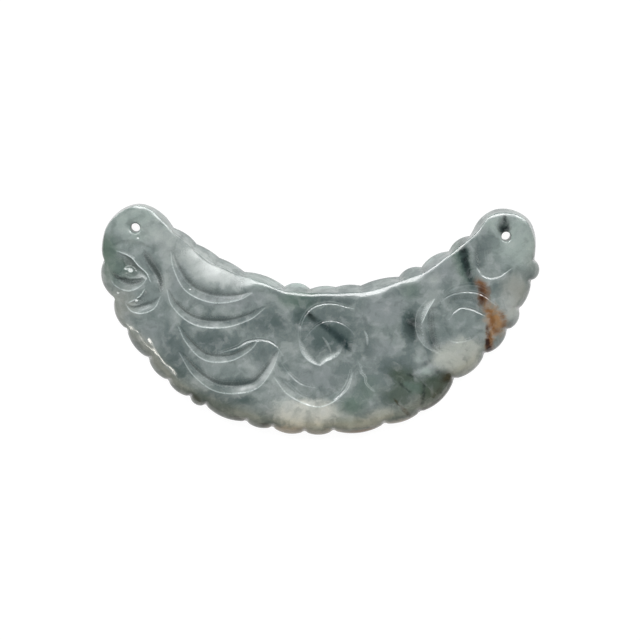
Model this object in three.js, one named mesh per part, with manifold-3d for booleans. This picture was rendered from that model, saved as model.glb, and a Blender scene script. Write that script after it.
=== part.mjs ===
// A crescent pendant plaque carved from one slab of jade, lying on its flat back.
// Millimetres. X runs along the crescent from the bird's head to the plain horn, Y points from the
// lobed belly to the horns, Z points out of the carved face. The origin is in the middle of the back.

import * as THREE from "three";
import Module from "manifold-3d";
import { mergeVertices } from "three/addons/utils/BufferGeometryUtils.js";

const wasm = await Module();
wasm.setup();

// Thickness of the slab, and how its edges are worked
const THICK = 5.5; // back to the highest part of the carved face
const FACE_EDGE_Z = 4.9; // height of the face where it turns down into the rim
const CROWN_RINGS = [
  { inset: 1.2, z: 5.25 },
  { inset: 3.2, z: THICK },
]; // the face swells from its edge to its full height
const RIM_ROWS = [
  { toFace: 0, z: 0.7 },
  { toFace: 0.1, z: 2.4 },
  { toFace: 0.42, z: 4.1 },
]; // the rim rolls from the lobed outline in to the face edge
const BACK_BREAK = 0.4; // the back's edge is broken by this much

// Cord holes, one in each horn
const HOLE_DIAMETER = 1.9;
const HOLES = [
  [-36.9, 18.4],
  [37.2, 16.7],
];
const HOLE_SIDES = 24;

// Spacing of the points along the outline and along the grooves
const OUTLINE_STEP = 1;
const GROOVE_STEP = 1.1;

// The lobed outline, run by run, counterclockwise from the notch beside the left horn. Each run starts
// at a notch. A lobe is an arc that stands out by its bulge, and a horn is a smooth curve through points.
const RIM = [
  {
    from: [-29.3, 18.1],
    through: [[-31, 20.4], [-33.8, 22.4], [-36.5, 23], [-39.9, 21.8], [-42.9, 18.4], [-43.8, 14.1]],
  },
  { from: [-43.4, 11.6], bulge: 1.5 },
  { from: [-41.2, 4.2], bulge: 1.1 },
  { from: [-38.8, -2.2], bulge: 0.9 },
  { from: [-34.5, -8], bulge: 0.8 },
  { from: [-30.6, -12.5], bulge: 0.75 },
  { from: [-26.2, -15.8], bulge: 0.85 },
  { from: [-23.1, -17.5], bulge: 1 },
  { from: [-14.9, -20.8], bulge: 0.75 },
  { from: [-9.6, -22], bulge: 0.9 },
  { from: [-3.1, -22.9], bulge: 0.8 },
  { from: [2.7, -22.7], bulge: 1.2 },
  { from: [13, -21.3], bulge: 0.8 },
  { from: [20.2, -18.9], bulge: 1.25 },
  { from: [27, -12.2], bulge: 1.15 },
  { from: [33.1, -7.1], bulge: 1.1 },
  { from: [37.6, -2.3], bulge: 1 },
  { from: [40, 1.9], bulge: 0.6 },
  { from: [42.4, 7.6], bulge: 1.3 },
  {
    from: [43.1, 11.7],
    through: [[43.2, 16.7], [41.8, 19.9], [38.5, 21.8], [35, 21.8], [32.1, 19.9]],
  },
  { from: [30.1, 16.5], bulge: 0.8 },
  { from: [25.9, 13.4], bulge: 0.8 },
  { from: [20.4, 10.2], bulge: 0.8 },
  { from: [15.9, 8.3], bulge: 0.45 },
  { from: [8.2, 6.5], bulge: 0.35 },
  { from: [3.2, 6.2], bulge: 0.45 },
  { from: [-2, 5.8], bulge: 1 },
  { from: [-7.1, 6.3], bulge: 0.7 },
  { from: [-15.2, 9.3], bulge: 0.25 },
  { from: [-20.2, 12.1], bulge: 0.25 },
  { from: [-24.8, 14.9], bulge: 0.45 },
];

// The edge of the carved face, a smooth closed curve inside the lobes, in the same order as the rim
const FACE = [
  [-29.3, 17.4], [-31.5, 19.9], [-34, 22.2], [-36.5, 22.9], [-40, 21.4], [-42.6, 18.4], [-43.2, 14.4],
  [-42.6, 10.4], [-40.8, 5.6], [-39.2, 1], [-33.4, -6.6], [-25.4, -14.2], [-14.6, -19], [-3.2, -21],
  [7, -20.6], [17.6, -18], [25.8, -11.2], [33.6, -4.4], [38.8, 3], [41.6, 9.6], [42.6, 16], [40.8, 20.2],
  [37, 21.5], [34, 20.8], [31.6, 17.8], [25.8, 13], [20.9, 9.4], [16, 7.6], [10, 5.6], [0.2, 5.3],
  [-6.4, 5.6], [-12.8, 7.9], [-16.4, 8.8], [-19.6, 10.2], [-22.3, 11.3], [-26.1, 14.5],
];

// Scoops: crescent hollows. Each is drawn by its lower lip from left to right and is cut into the stone
// above the lip, deepest near its far wall and tapering to both tips.
const SCOOPS = {
  feather_1: {
    lip: [[-29.8, 13.6], [-29.4, 10.7], [-26.9, 5.9], [-21.8, 3.5], [-15.7, 4.3], [-13.2, 5.7]],
    width: 2.3,
    depth: 0.8,
  },
  feather_2: {
    lip: [[-30.6, 6], [-29.7, 3], [-25.6, -0.8], [-19.5, -1.6], [-13.8, 0.2], [-11, 2.4]],
    width: 2.1,
    depth: 0.8,
  },
  feather_3: {
    lip: [[-28.4, -1.2], [-26.9, -4.4], [-23.3, -8], [-18.1, -8.3], [-14, -6.1], [-12.4, -4.2]],
    width: 2,
    depth: 0.8,
  },
  feather_4: {
    lip: [[-28.2, -6.6], [-25.3, -11.2], [-20.5, -14.5], [-13, -14], [-9.6, -10], [-8.2, -6.2]],
    width: 2.2,
    depth: 0.85,
  },
  belly_scroll: {
    lip: [[-9.2, -11.6], [-6.2, -15.2], [0, -17.5], [5.3, -14.2], [6.6, -10.6]],
    width: 1.9,
    depth: 0.7,
  },
  mouth: {
    lip: [[-38.9, 3.2], [-37.8, 1.8], [-35.8, 1.3], [-33.2, 2.3], [-31.8, 4.8]],
    width: 1.6,
    depth: 0.7,
  },
  eye_socket: {
    lip: [[-42.1, 9.6], [-41.3, 7.2], [-38.3, 5.8], [-35.6, 7], [-34.4, 8.8]],
    width: 1.7,
    depth: 0.8,
  },
  horn_boss: {
    lip: [[31.4, 14.6], [31.3, 11.6], [33.1, 8.4], [35.9, 8.7], [38.4, 10.3]],
    width: 1.5,
    depth: 0.55,
  },
  right_hook: {
    lip: [[21.6, 4.4], [19.4, 1.4], [19.3, -2.4], [20.9, -5.2], [24.3, -7]],
    width: 1.7,
    depth: 0.6,
  },
};

// Flutes: narrow grooves of even width along a centre line
const FLUTES = {
  brow: { line: [[-40.6, 13.6], [-38.8, 13.2], [-36.5, 11.2], [-34.6, 9.4], [-33.7, 7.6]], width: 0.9, depth: 0.6 },
  neck: { line: [[-35.4, 13.7], [-33.3, 10.4], [-32, 7.7], [-32.1, 5.2]], width: 1.1, depth: 0.5 },
  hook: {
    line: [[-19.3, -6.4], [-16.6, -5.4], [-14.6, -4.3], [-12.3, -3.9], [-10.2, -4.2], [-8.4, -5.4], [-7.4, -7]],
    width: 0.9,
    depth: 0.45,
  },
  spiral_outer: {
    line: [[-4, -4.2], [-4, -1.4], [-2, 1.9], [1.4, 3.4], [4.6, 3.1], [7.8, 1.4], [9.2, -2], [9.6, -5]],
    width: 0.9,
    depth: 0.45,
  },
  spiral_inner: {
    line: [[-3.3, -5], [-1.8, -2.2], [1.7, -0.3], [5.4, -1.4], [7.2, -3.6], [7.6, -5.4]],
    width: 0.9,
    depth: 0.45,
  },
  spiral_bowl_lip: {
    line: [[-4, -5.8], [-3.2, -7.5], [-0.6, -8.7], [2, -8], [3.8, -6.8]],
    width: 0.9,
    depth: 0.5,
  },
  inner_scroll: { line: [[-7.6, -8.6], [-5.8, -11], [-3.6, -12.8], [-0.6, -13.6]], width: 0.7, depth: 0.35 },
  tail_curl: { line: [[7.6, -7.8], [8.6, -9.2], [9.2, -11.4], [10.9, -14.4]], width: 0.7, depth: 0.35 },
  ring_outer: { line: [[23.4, 3], [25.7, 4.9], [29.2, 5.7], [32.4, 5.1], [35.3, 3]], width: 0.9, depth: 0.45 },
  ring_inner: { line: [[25.8, 0.2], [27, 1.9], [28.8, 2.5], [31, 1.9], [33.1, 0.6]], width: 0.8, depth: 0.4 },
  ring_foot: { line: [[25.6, -3.8], [27.2, -4.3], [29, -4], [30.8, -3.4]], width: 0.8, depth: 0.4 },
};
const TIP = 0.12; // share of its width and depth that a groove keeps at its tips

// Dished centres of the two rings, as the depth of a shallow bowl
const BOWLS = [
  { centre: [-0.3, -4.9], radius: 2.9, depth: 0.45 },
  { centre: [28.2, -0.8], radius: 2.6, depth: 0.3 },
];
const BOWL_SIDES = 32;
const BOWL_RINGS = 8;

const HEADROOM = 0.4; // the cutters stand this far above the face
const SMALLEST = 0.02; // slivers under this size are smoothed away
const JADE = { color: 0x8fa19d, roughness: 0.25, metalness: 0 };

const flat = ([x, y]) => new THREE.Vector3(x, y, 0);
const spline = (points, closed = false) =>
  new THREE.CatmullRomCurve3(points.map(flat), closed, "centripetal");

// Points of one run of the rim, its end left out
function runPoints(run, end) {
  if (run.through) {
    const curve = spline([run.from, ...run.through, end]);
    const count = Math.round(curve.getLength() / OUTLINE_STEP);
    return curve.getSpacedPoints(count).slice(0, -1);
  }
  const start = flat(run.from);
  const chord = flat(end).sub(start);
  const half = chord.length() / 2;
  const radius = (half * half + run.bulge * run.bulge) / (2 * run.bulge);
  const outward = new THREE.Vector3(chord.y, -chord.x, 0).normalize();
  const centre = start.clone().addScaledVector(chord, 0.5).addScaledVector(outward, run.bulge - radius);
  const sweep = 2 * Math.atan2(half, radius - run.bulge);
  const count = Math.max(5, Math.round((sweep * radius) / OUTLINE_STEP));
  const spoke = start.clone().sub(centre);
  return Array.from({ length: count }, (_, i) =>
    spoke.clone().applyAxisAngle(new THREE.Vector3(0, 0, 1), (sweep * i) / count).add(centre)
  );
}

// The rim's points, and beside each the point of the face edge that belongs to it
function outlines() {
  const faceCurve = spline(FACE, true);
  const steps = 2000;
  const facePoints = faceCurve.getSpacedPoints(steps);
  const nearest = (corner) => {
    let best = 0;
    facePoints.forEach((p, i) => {
      if (p.distanceTo(corner) < facePoints[best].distanceTo(corner)) best = i;
    });
    return best / steps;
  };
  const stations = RIM.map((run) => nearest(flat(run.from)));
  stations[0] = 0;
  stations.push(1);
  const rim = [];
  const face = [];
  RIM.forEach((run, k) => {
    const points = runPoints(run, RIM[(k + 1) % RIM.length].from);
    points.forEach((p, i) => {
      rim.push(p);
      face.push(faceCurve.getPointAt(THREE.MathUtils.lerp(stations[k], stations[k + 1], i / points.length)));
    });
  });
  return { rim, face };
}

// A closed loop moved inwards, square to itself
function inset(loop, distance) {
  return loop.map((p, i) => {
    const before = loop[(i + loop.length - 1) % loop.length];
    const after = loop[(i + 1) % loop.length];
    const along = after.clone().sub(before).normalize();
    return p.clone().add(new THREE.Vector3(-along.y, along.x, 0).multiplyScalar(distance));
  });
}

const lifted = (loop, z) => loop.map((p) => new THREE.Vector3(p.x, p.y, z));

// Closed body from a stack of equal loops, flat below the first and above the last
function stack(loops) {
  const n = loops[0].length;
  const places = loops.flat();
  const faces = [];
  for (let r = 0; r + 1 < loops.length; r++) {
    for (let i = 0; i < n; i++) {
      const a = r * n + i;
      const b = r * n + ((i + 1) % n);
      faces.push([a, b, b + n], [a, b + n, a + n]);
    }
  }
  const cap = (loop, start, up) => {
    const outline = loop.map((p) => new THREE.Vector2(p.x, p.y));
    for (const [a, b, c] of THREE.ShapeUtils.triangulateShape(outline, [])) {
      faces.push(up ? [start + a, start + b, start + c] : [start + c, start + b, start + a]);
    }
  };
  cap(loops[0], 0, false);
  cap(loops.at(-1), (loops.length - 1) * n, true);
  return closedGeometry(places, faces);
}

function closedGeometry(places, faces) {
  const geometry = new THREE.BufferGeometry();
  geometry.setAttribute("position", new THREE.Float32BufferAttribute(places.flatMap((p) => p.toArray()), 3));
  geometry.setIndex(faces.flat());
  return geometry;
}

function toSolid(source) {
  const geometry = source.index ? source.clone() : source;
  geometry.deleteAttribute("normal");
  geometry.deleteAttribute("uv");
  const merged = mergeVertices(geometry, 1e-4);
  return new wasm.Manifold(
    new wasm.Mesh({
      numProp: 3,
      vertProperties: new Float32Array(merged.attributes.position.array),
      triVerts: new Uint32Array(merged.index.array),
    })
  );
}

function toGeometry(solid) {
  const mesh = solid.getMesh();
  const geometry = new THREE.BufferGeometry();
  geometry.setAttribute("position", new THREE.BufferAttribute(new Float32Array(mesh.vertProperties), 3));
  geometry.setIndex(new THREE.BufferAttribute(new Uint32Array(mesh.triVerts), 1));
  return geometry;
}

// Height of the uncut face over a point, from how far the point is inside the face edge
function faceHeight(edge, p) {
  const inside = Math.min(...edge.map((q) => Math.hypot(p.x - q.x, p.y - q.y)));
  const steps = [{ inset: 0, z: FACE_EDGE_Z }, ...CROWN_RINGS];
  for (let i = 1; i < steps.length; i++) {
    if (inside < steps[i].inset) {
      const share = (inside - steps[i - 1].inset) / (steps[i].inset - steps[i - 1].inset);
      return THREE.MathUtils.lerp(steps[i - 1].z, steps[i].z, share);
    }
  }
  return THICK;
}

// A cutter swept along a line. section(swell) gives its corners as [across, above the face], with
// across to the left of the line.
function sweep(line, edge, section) {
  const curve = spline(line);
  const count = Math.max(8, Math.round(curve.getLength() / GROOVE_STEP));
  const places = [];
  const faces = [];
  let corners = 0;
  for (let i = 0; i <= count; i++) {
    const share = i / count;
    const p = curve.getPointAt(share);
    const along = curve.getTangentAt(share);
    const left = new THREE.Vector3(-along.y, along.x, 0);
    const swell = TIP + (1 - TIP) * Math.sin(Math.PI * share) ** 0.6;
    const ring = section(swell);
    corners = ring.length;
    for (const [across, above] of ring) {
      const corner = p.clone().addScaledVector(left, across);
      places.push(corner.setZ(faceHeight(edge, corner) + above));
    }
  }
  for (let i = 0; i < count; i++) {
    for (let c = 0; c < corners; c++) {
      const a = i * corners + c;
      const b = i * corners + ((c + 1) % corners);
      faces.push([a, b, b + corners], [a, b + corners, a + corners]);
    }
  }
  for (let c = 1; c + 1 < corners; c++) {
    faces.push([0, c + 1, c]);
    const last = count * corners;
    faces.push([last, last + c, last + c + 1]);
  }
  return toSolid(closedGeometry(places, faces));
}

// Both sides of a section go on at their own slope to a little above the face
function scoopCutter({ lip, width, depth }, edge) {
  return sweep(lip, edge, (swell) => {
    const w = width * swell;
    const d = depth * swell;
    const lipRun = (HEADROOM * 0.25 * w) / (0.45 * d);
    const wallRun = (HEADROOM * 0.14 * w) / (0.75 * d);
    return [
      [-lipRun, HEADROOM],
      [0.25 * w, -0.45 * d],
      [0.62 * w, -d],
      [0.86 * w, -0.75 * d],
      [w + wallRun, HEADROOM],
    ];
  });
}

function fluteCutter({ line, width, depth }, edge) {
  return sweep(line, edge, (swell) => {
    const w = (width * swell) / 2;
    const d = depth * swell;
    const run = (HEADROOM * 0.7 * w) / d;
    return [[-w - run, HEADROOM], [-0.3 * w, -d], [0.3 * w, -d], [w + run, HEADROOM]];
  });
}

// A shallow bowl is the end of a large ball
function bowlCutter({ centre, radius, depth }) {
  const ball = (radius * radius + depth * depth) / (2 * depth);
  const reach = Math.asin(radius / ball) * 1.25;
  const cap = new THREE.SphereGeometry(ball, BOWL_SIDES, BOWL_RINGS, 0, 2 * Math.PI, Math.PI - reach, reach);
  cap.rotateX(Math.PI / 2);
  const rim = [];
  const position = cap.attributes.position;
  for (let i = 0; i < BOWL_SIDES; i++) {
    rim.push(new THREE.Vector3().fromBufferAttribute(position, i));
  }
  const top = new THREE.Vector3(0, 0, rim[0].z);
  const places = [];
  const faces = [];
  for (let i = 0; i < position.count; i++) places.push(new THREE.Vector3().fromBufferAttribute(position, i));
  for (let i = 0; i < cap.index.count; i += 3) {
    faces.push([cap.index.getX(i), cap.index.getX(i + 1), cap.index.getX(i + 2)]);
  }
  const middle = places.push(top) - 1;
  for (let i = 0; i < BOWL_SIDES; i++) faces.push([middle, i, i + 1]);
  const geometry = closedGeometry(places, faces);
  geometry.translate(centre[0], centre[1], THICK - depth + ball);
  return toSolid(geometry);
}

function holeCutter([x, y]) {
  const drill = new THREE.CylinderGeometry(HOLE_DIAMETER / 2, HOLE_DIAMETER / 2, 3 * THICK, HOLE_SIDES);
  drill.rotateX(Math.PI / 2);
  drill.translate(x, y, 0);
  return toSolid(drill);
}

// Crumbs that crossing grooves cut loose fall away
function largestBody(stone) {
  return stone.decompose().reduce((best, body) => (body.volume() > best.volume() ? body : best));
}

function carvedPlaque() {
  const { rim, face } = outlines();
  const between = (share) => rim.map((p, i) => p.clone().lerp(face[i], share));
  const loops = [
    lifted(inset(rim, BACK_BREAK), 0),
    ...RIM_ROWS.map(({ toFace, z }) => lifted(between(toFace), z)),
    lifted(face, FACE_EDGE_Z),
    ...CROWN_RINGS.map(({ inset: distance, z }) => lifted(inset(face, distance), z)),
  ];
  const cutters = [
    ...BOWLS.map(bowlCutter),
    ...Object.values(SCOOPS).map((scoop) => scoopCutter(scoop, face)),
    ...Object.values(FLUTES).map((flute) => fluteCutter(flute, face)),
    ...HOLES.map(holeCutter),
  ];
  let stone = toSolid(stack(loops));
  for (const cutter of cutters) stone = stone.subtract(cutter);
  const geometry = toGeometry(largestBody(stone.simplify(SMALLEST)));
  geometry.computeBoundingBox();
  const middle = geometry.boundingBox.getCenter(new THREE.Vector3());
  geometry.translate(-middle.x, -middle.y, 0);
  geometry.computeVertexNormals();
  return geometry;
}

const plaque = new THREE.Mesh(carvedPlaque(), new THREE.MeshStandardMaterial(JADE));
plaque.name = "plaque";

const part = new THREE.Group();
part.add(plaque);

export default part;
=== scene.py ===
# %% [markdown]
# # A crescent pendant plaque of carved jade
# The real object is one slab of mottled jade, five and a half millimetres thick. A carver saws it to a
# crescent, drills a cord hole in each horn, scoops the feathers and scrolls into the face with small
# wheels, nicks the rim into lobes and polishes it. This lesson builds it in that order: the outline, the
# carved face as one height for every place, the mesh, the finishes, and then the studio.

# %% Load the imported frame
import math

import bpy
import numpy as np
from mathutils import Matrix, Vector
from mathutils.geometry import delaunay_2d_cdt
from mathutils.kdtree import KDTree


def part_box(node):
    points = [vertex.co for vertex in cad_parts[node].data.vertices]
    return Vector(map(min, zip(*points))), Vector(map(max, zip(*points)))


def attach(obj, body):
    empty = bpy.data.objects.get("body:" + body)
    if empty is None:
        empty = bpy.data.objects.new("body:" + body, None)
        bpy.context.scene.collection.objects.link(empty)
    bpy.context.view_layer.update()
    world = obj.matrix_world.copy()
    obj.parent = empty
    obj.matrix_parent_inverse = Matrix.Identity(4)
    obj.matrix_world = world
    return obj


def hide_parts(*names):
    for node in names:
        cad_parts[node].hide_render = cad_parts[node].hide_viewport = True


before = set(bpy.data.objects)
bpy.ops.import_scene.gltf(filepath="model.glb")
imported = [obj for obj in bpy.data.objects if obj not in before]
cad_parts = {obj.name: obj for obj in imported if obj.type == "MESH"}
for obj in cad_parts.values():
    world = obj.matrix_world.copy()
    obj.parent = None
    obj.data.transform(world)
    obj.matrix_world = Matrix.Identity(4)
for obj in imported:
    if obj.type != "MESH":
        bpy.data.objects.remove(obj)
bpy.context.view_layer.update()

# %% [markdown]
# ## Sizes
# A carver thinks in millimetres, so the drawing is in millimetres: X runs along the crescent from the
# bird's head to the plain horn, Y points from the lobed belly to the horns, and Z points out of the face.
# Only the finished mesh is turned into metres, the unit that the frame uses.

# %% Main sizes in millimetres
MM = 0.001
THICK = 5.5
BACK_BREAK = 0.4
RIM_FOOT_Z = 0.9
HOLE_RADIUS = 0.95
HOLE_FLARE = 0.3
HOLES = [(-36.9, 18.4), (37.2, 16.7)]

# %% [markdown]
# ## Lines
# Every stroke of the carving is a smooth line through a few points. A centripetal Catmull-Rom curve goes
# through its points without loops, so a stroke needs only the places where it turns. The points are then
# laid out again at an even step, because a mesh likes even spacing.


# %% Smooth lines with even steps
def even_points(points, step):
    """Points at an even spacing along a chain of points, both ends kept."""
    reach = np.concatenate([[0], np.cumsum(np.linalg.norm(np.diff(points, axis=0), axis=1))])
    count = max(2, round(reach[-1] / step))
    stations = np.linspace(0, reach[-1], count + 1)
    return np.column_stack([np.interp(stations, reach, points[:, k]) for k in (0, 1)])


def smooth_line(points, step, closed=False):
    """An even chain of points along a smooth curve through the given ones."""
    points = np.array(points, float)
    if closed:
        around = np.vstack([points[-1], points, points[0], points[1]])
    else:
        around = np.vstack([2 * points[0] - points[1], points, 2 * points[-1] - points[-2]])
    share = np.linspace(0, 1, 30, endpoint=False)[:, None]
    pieces = []
    for a, b, c, d in zip(around, around[1:], around[2:], around[3:]):
        gap_ab = math.sqrt(math.dist(a, b))
        gap_bc = math.sqrt(math.dist(b, c))
        gap_cd = math.sqrt(math.dist(c, d))
        leave = ((b - a) / gap_ab - (c - a) / (gap_ab + gap_bc) + (c - b) / gap_bc) * gap_bc
        arrive = ((c - b) / gap_bc - (d - b) / (gap_bc + gap_cd) + (d - c) / gap_cd) * gap_bc
        bend = 2 * b - 2 * c + leave + arrive
        sweep = -3 * b + 3 * c - 2 * leave - arrive
        pieces.append(((bend * share + sweep) * share + leave) * share + b)
    pieces.append(points[:1] if closed else points[-1:])
    return even_points(np.vstack(pieces), step)


def arc_line(start, end, bulge, step):
    """An arc from start to end that stands out to the right of its chord by the bulge."""
    start = np.array(start, float)
    end = np.array(end, float)
    chord = end - start
    half = np.linalg.norm(chord) / 2
    radius = (half**2 + bulge**2) / (2 * bulge)
    outward = np.array([chord[1], -chord[0]]) / (2 * half)
    centre = (start + end) / 2 + outward * (bulge - radius)
    sweep = 2 * math.atan2(half, radius - bulge)
    count = max(6, round(sweep * radius / step))
    angle = math.atan2(*(start - centre)[::-1]) + np.linspace(0, sweep, count + 1)
    return centre + radius * np.column_stack([np.cos(angle), np.sin(angle)])


# %% [markdown]
# ## The outline
# Seen from the face, the slab's outline is a row of lobes between two round horns. A lobe is a shallow
# arc between two nicks, so a lobe needs one point and one bulge. Inside the lobes runs the edge of the
# face, a smooth closed curve. The rim of the stone lies between the two.

# %% The lobed rim and the edge of the face
RIM_STEP = 0.24
LEFT_HORN = [
    (-29.3, 18.1), (-31, 20.4), (-33.8, 22.4), (-36.5, 23), (-39.9, 21.8), (-42.9, 18.4), (-43.8, 14.1),
]
LOWER_LOBES = [
    ((-43.4, 11.6), 1.5), ((-41.2, 4.2), 1.1), ((-38.8, -2.2), 0.9), ((-34.5, -8), 0.8),
    ((-30.6, -12.5), 0.75), ((-26.2, -15.8), 0.85), ((-23.1, -17.5), 1), ((-14.9, -20.8), 0.75),
    ((-9.6, -22), 0.9), ((-3.1, -22.9), 0.8), ((2.7, -22.7), 1.2), ((13, -21.3), 0.8),
    ((20.2, -18.9), 1.25), ((27, -12.2), 1.15), ((33.1, -7.1), 1.1), ((37.6, -2.3), 1),
    ((40, 1.9), 0.6), ((42.4, 7.6), 1.3),
]
RIGHT_HORN = [(43.1, 11.7), (43.2, 16.7), (41.8, 19.9), (38.5, 21.8), (35, 21.8), (32.1, 19.9)]
UPPER_LOBES = [
    ((30.1, 16.5), 0.8), ((25.9, 13.4), 0.8), ((20.4, 10.2), 0.8), ((15.9, 8.3), 0.45), ((8.2, 6.5), 0.35),
    ((3.2, 6.2), 0.45), ((-2, 5.8), 1), ((-7.1, 6.3), 0.7), ((-15.2, 9.3), 0.25), ((-20.2, 12.1), 0.25),
    ((-24.8, 14.9), 0.45),
]
FACE_EDGE = [
    (-29.3, 17.4), (-31.5, 19.9), (-34, 22.2), (-36.5, 22.9), (-40, 21.4), (-42.6, 18.4), (-43.2, 14.4),
    (-42.6, 10.4), (-41.2, 4.6), (-39.2, -0.4), (-33.4, -6.6), (-27.2, -13.2), (-14.6, -19), (-3.2, -21),
    (7, -20.6), (17.6, -18), (25.8, -11.2), (33.6, -4.4), (38.8, 3), (41.6, 9.6), (42.6, 16), (40.8, 20.2),
    (37, 21.5), (34, 20.8), (31.6, 17.8), (25.8, 13), (20.9, 9.4), (16, 7.6), (10, 5.6), (0.2, 5.3),
    (-6.4, 5.6), (-12.8, 7.9), (-16.4, 8.8), (-19.6, 10.2), (-22.3, 11.3), (-26.1, 14.5),
]


def rim_runs():
    """The rim as runs from nick to nick, counterclockwise from beside the left horn."""
    horns_and_lobes = [(LEFT_HORN[0], None), *LOWER_LOBES, (RIGHT_HORN[0], None), *UPPER_LOBES]
    starts, bulges = zip(*horns_and_lobes)
    ends = starts[1:] + starts[:1]
    runs = []
    for start, end, bulge in zip(starts, ends, bulges):
        if bulge is None:
            horn = LEFT_HORN if start == LEFT_HORN[0] else RIGHT_HORN
            runs.append(smooth_line(horn + [end], RIM_STEP))
        else:
            runs.append(arc_line(start, end, bulge, RIM_STEP))
    return runs


def paired_outlines():
    """The rim, the place of the face edge beside each of its points, and the way to the nearest nick."""
    edge = smooth_line(FACE_EDGE, 0.02, closed=True)
    runs = rim_runs()
    stations = [int(np.linalg.norm(edge - run[0], axis=1).argmin()) for run in runs]
    stations[0] = 0
    stations.append(len(edge) - 1)
    rim = []
    face = []
    nick = []
    for k, run in enumerate(runs):
        share = np.linspace(0, 1, len(run))[:-1]
        station = stations[k] + share * (stations[k + 1] - stations[k])
        rim.append(run[:-1])
        order = np.arange(len(edge))
        face.append(np.column_stack([np.interp(station, order, edge[:, i]) for i in (0, 1)]))
        nick.append(np.minimum(share, 1 - share) * RIM_STEP * (len(run) - 1))
    return np.vstack(rim), np.vstack(face), np.concatenate(nick)


rim_loop, face_loop, nick_gap = paired_outlines()
low_corner = rim_loop.min(axis=0)
high_corner = rim_loop.max(axis=0)
cad_low, cad_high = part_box("plaque")
cad_middle = np.array([(cad_low[k] + cad_high[k]) / 2 / MM for k in (0, 1)])
SHIFT = cad_middle - (low_corner + high_corner) / 2
print(f"rim: {len(rim_loop)} points, {high_corner - low_corner} mm")
print(f"the drawing moves by {SHIFT.round(3)} mm onto the frame")

# %% [markdown]
# ## The carving
# The strokes come in two kinds. A scoop is a crescent hollow: it starts at a crisp lip, sinks to its
# deepest place near the far wall, and comes up again in a soft shoulder, which makes the stone beyond it
# look like a pillow. A flute is a narrow groove with a crisp lip on both sides. A stroke that is marked
# as soft has rounded lips, which don't shine. Each stroke swells from one tip and fades at the other, as
# a wheel does that is lowered and lifted again.

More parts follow.
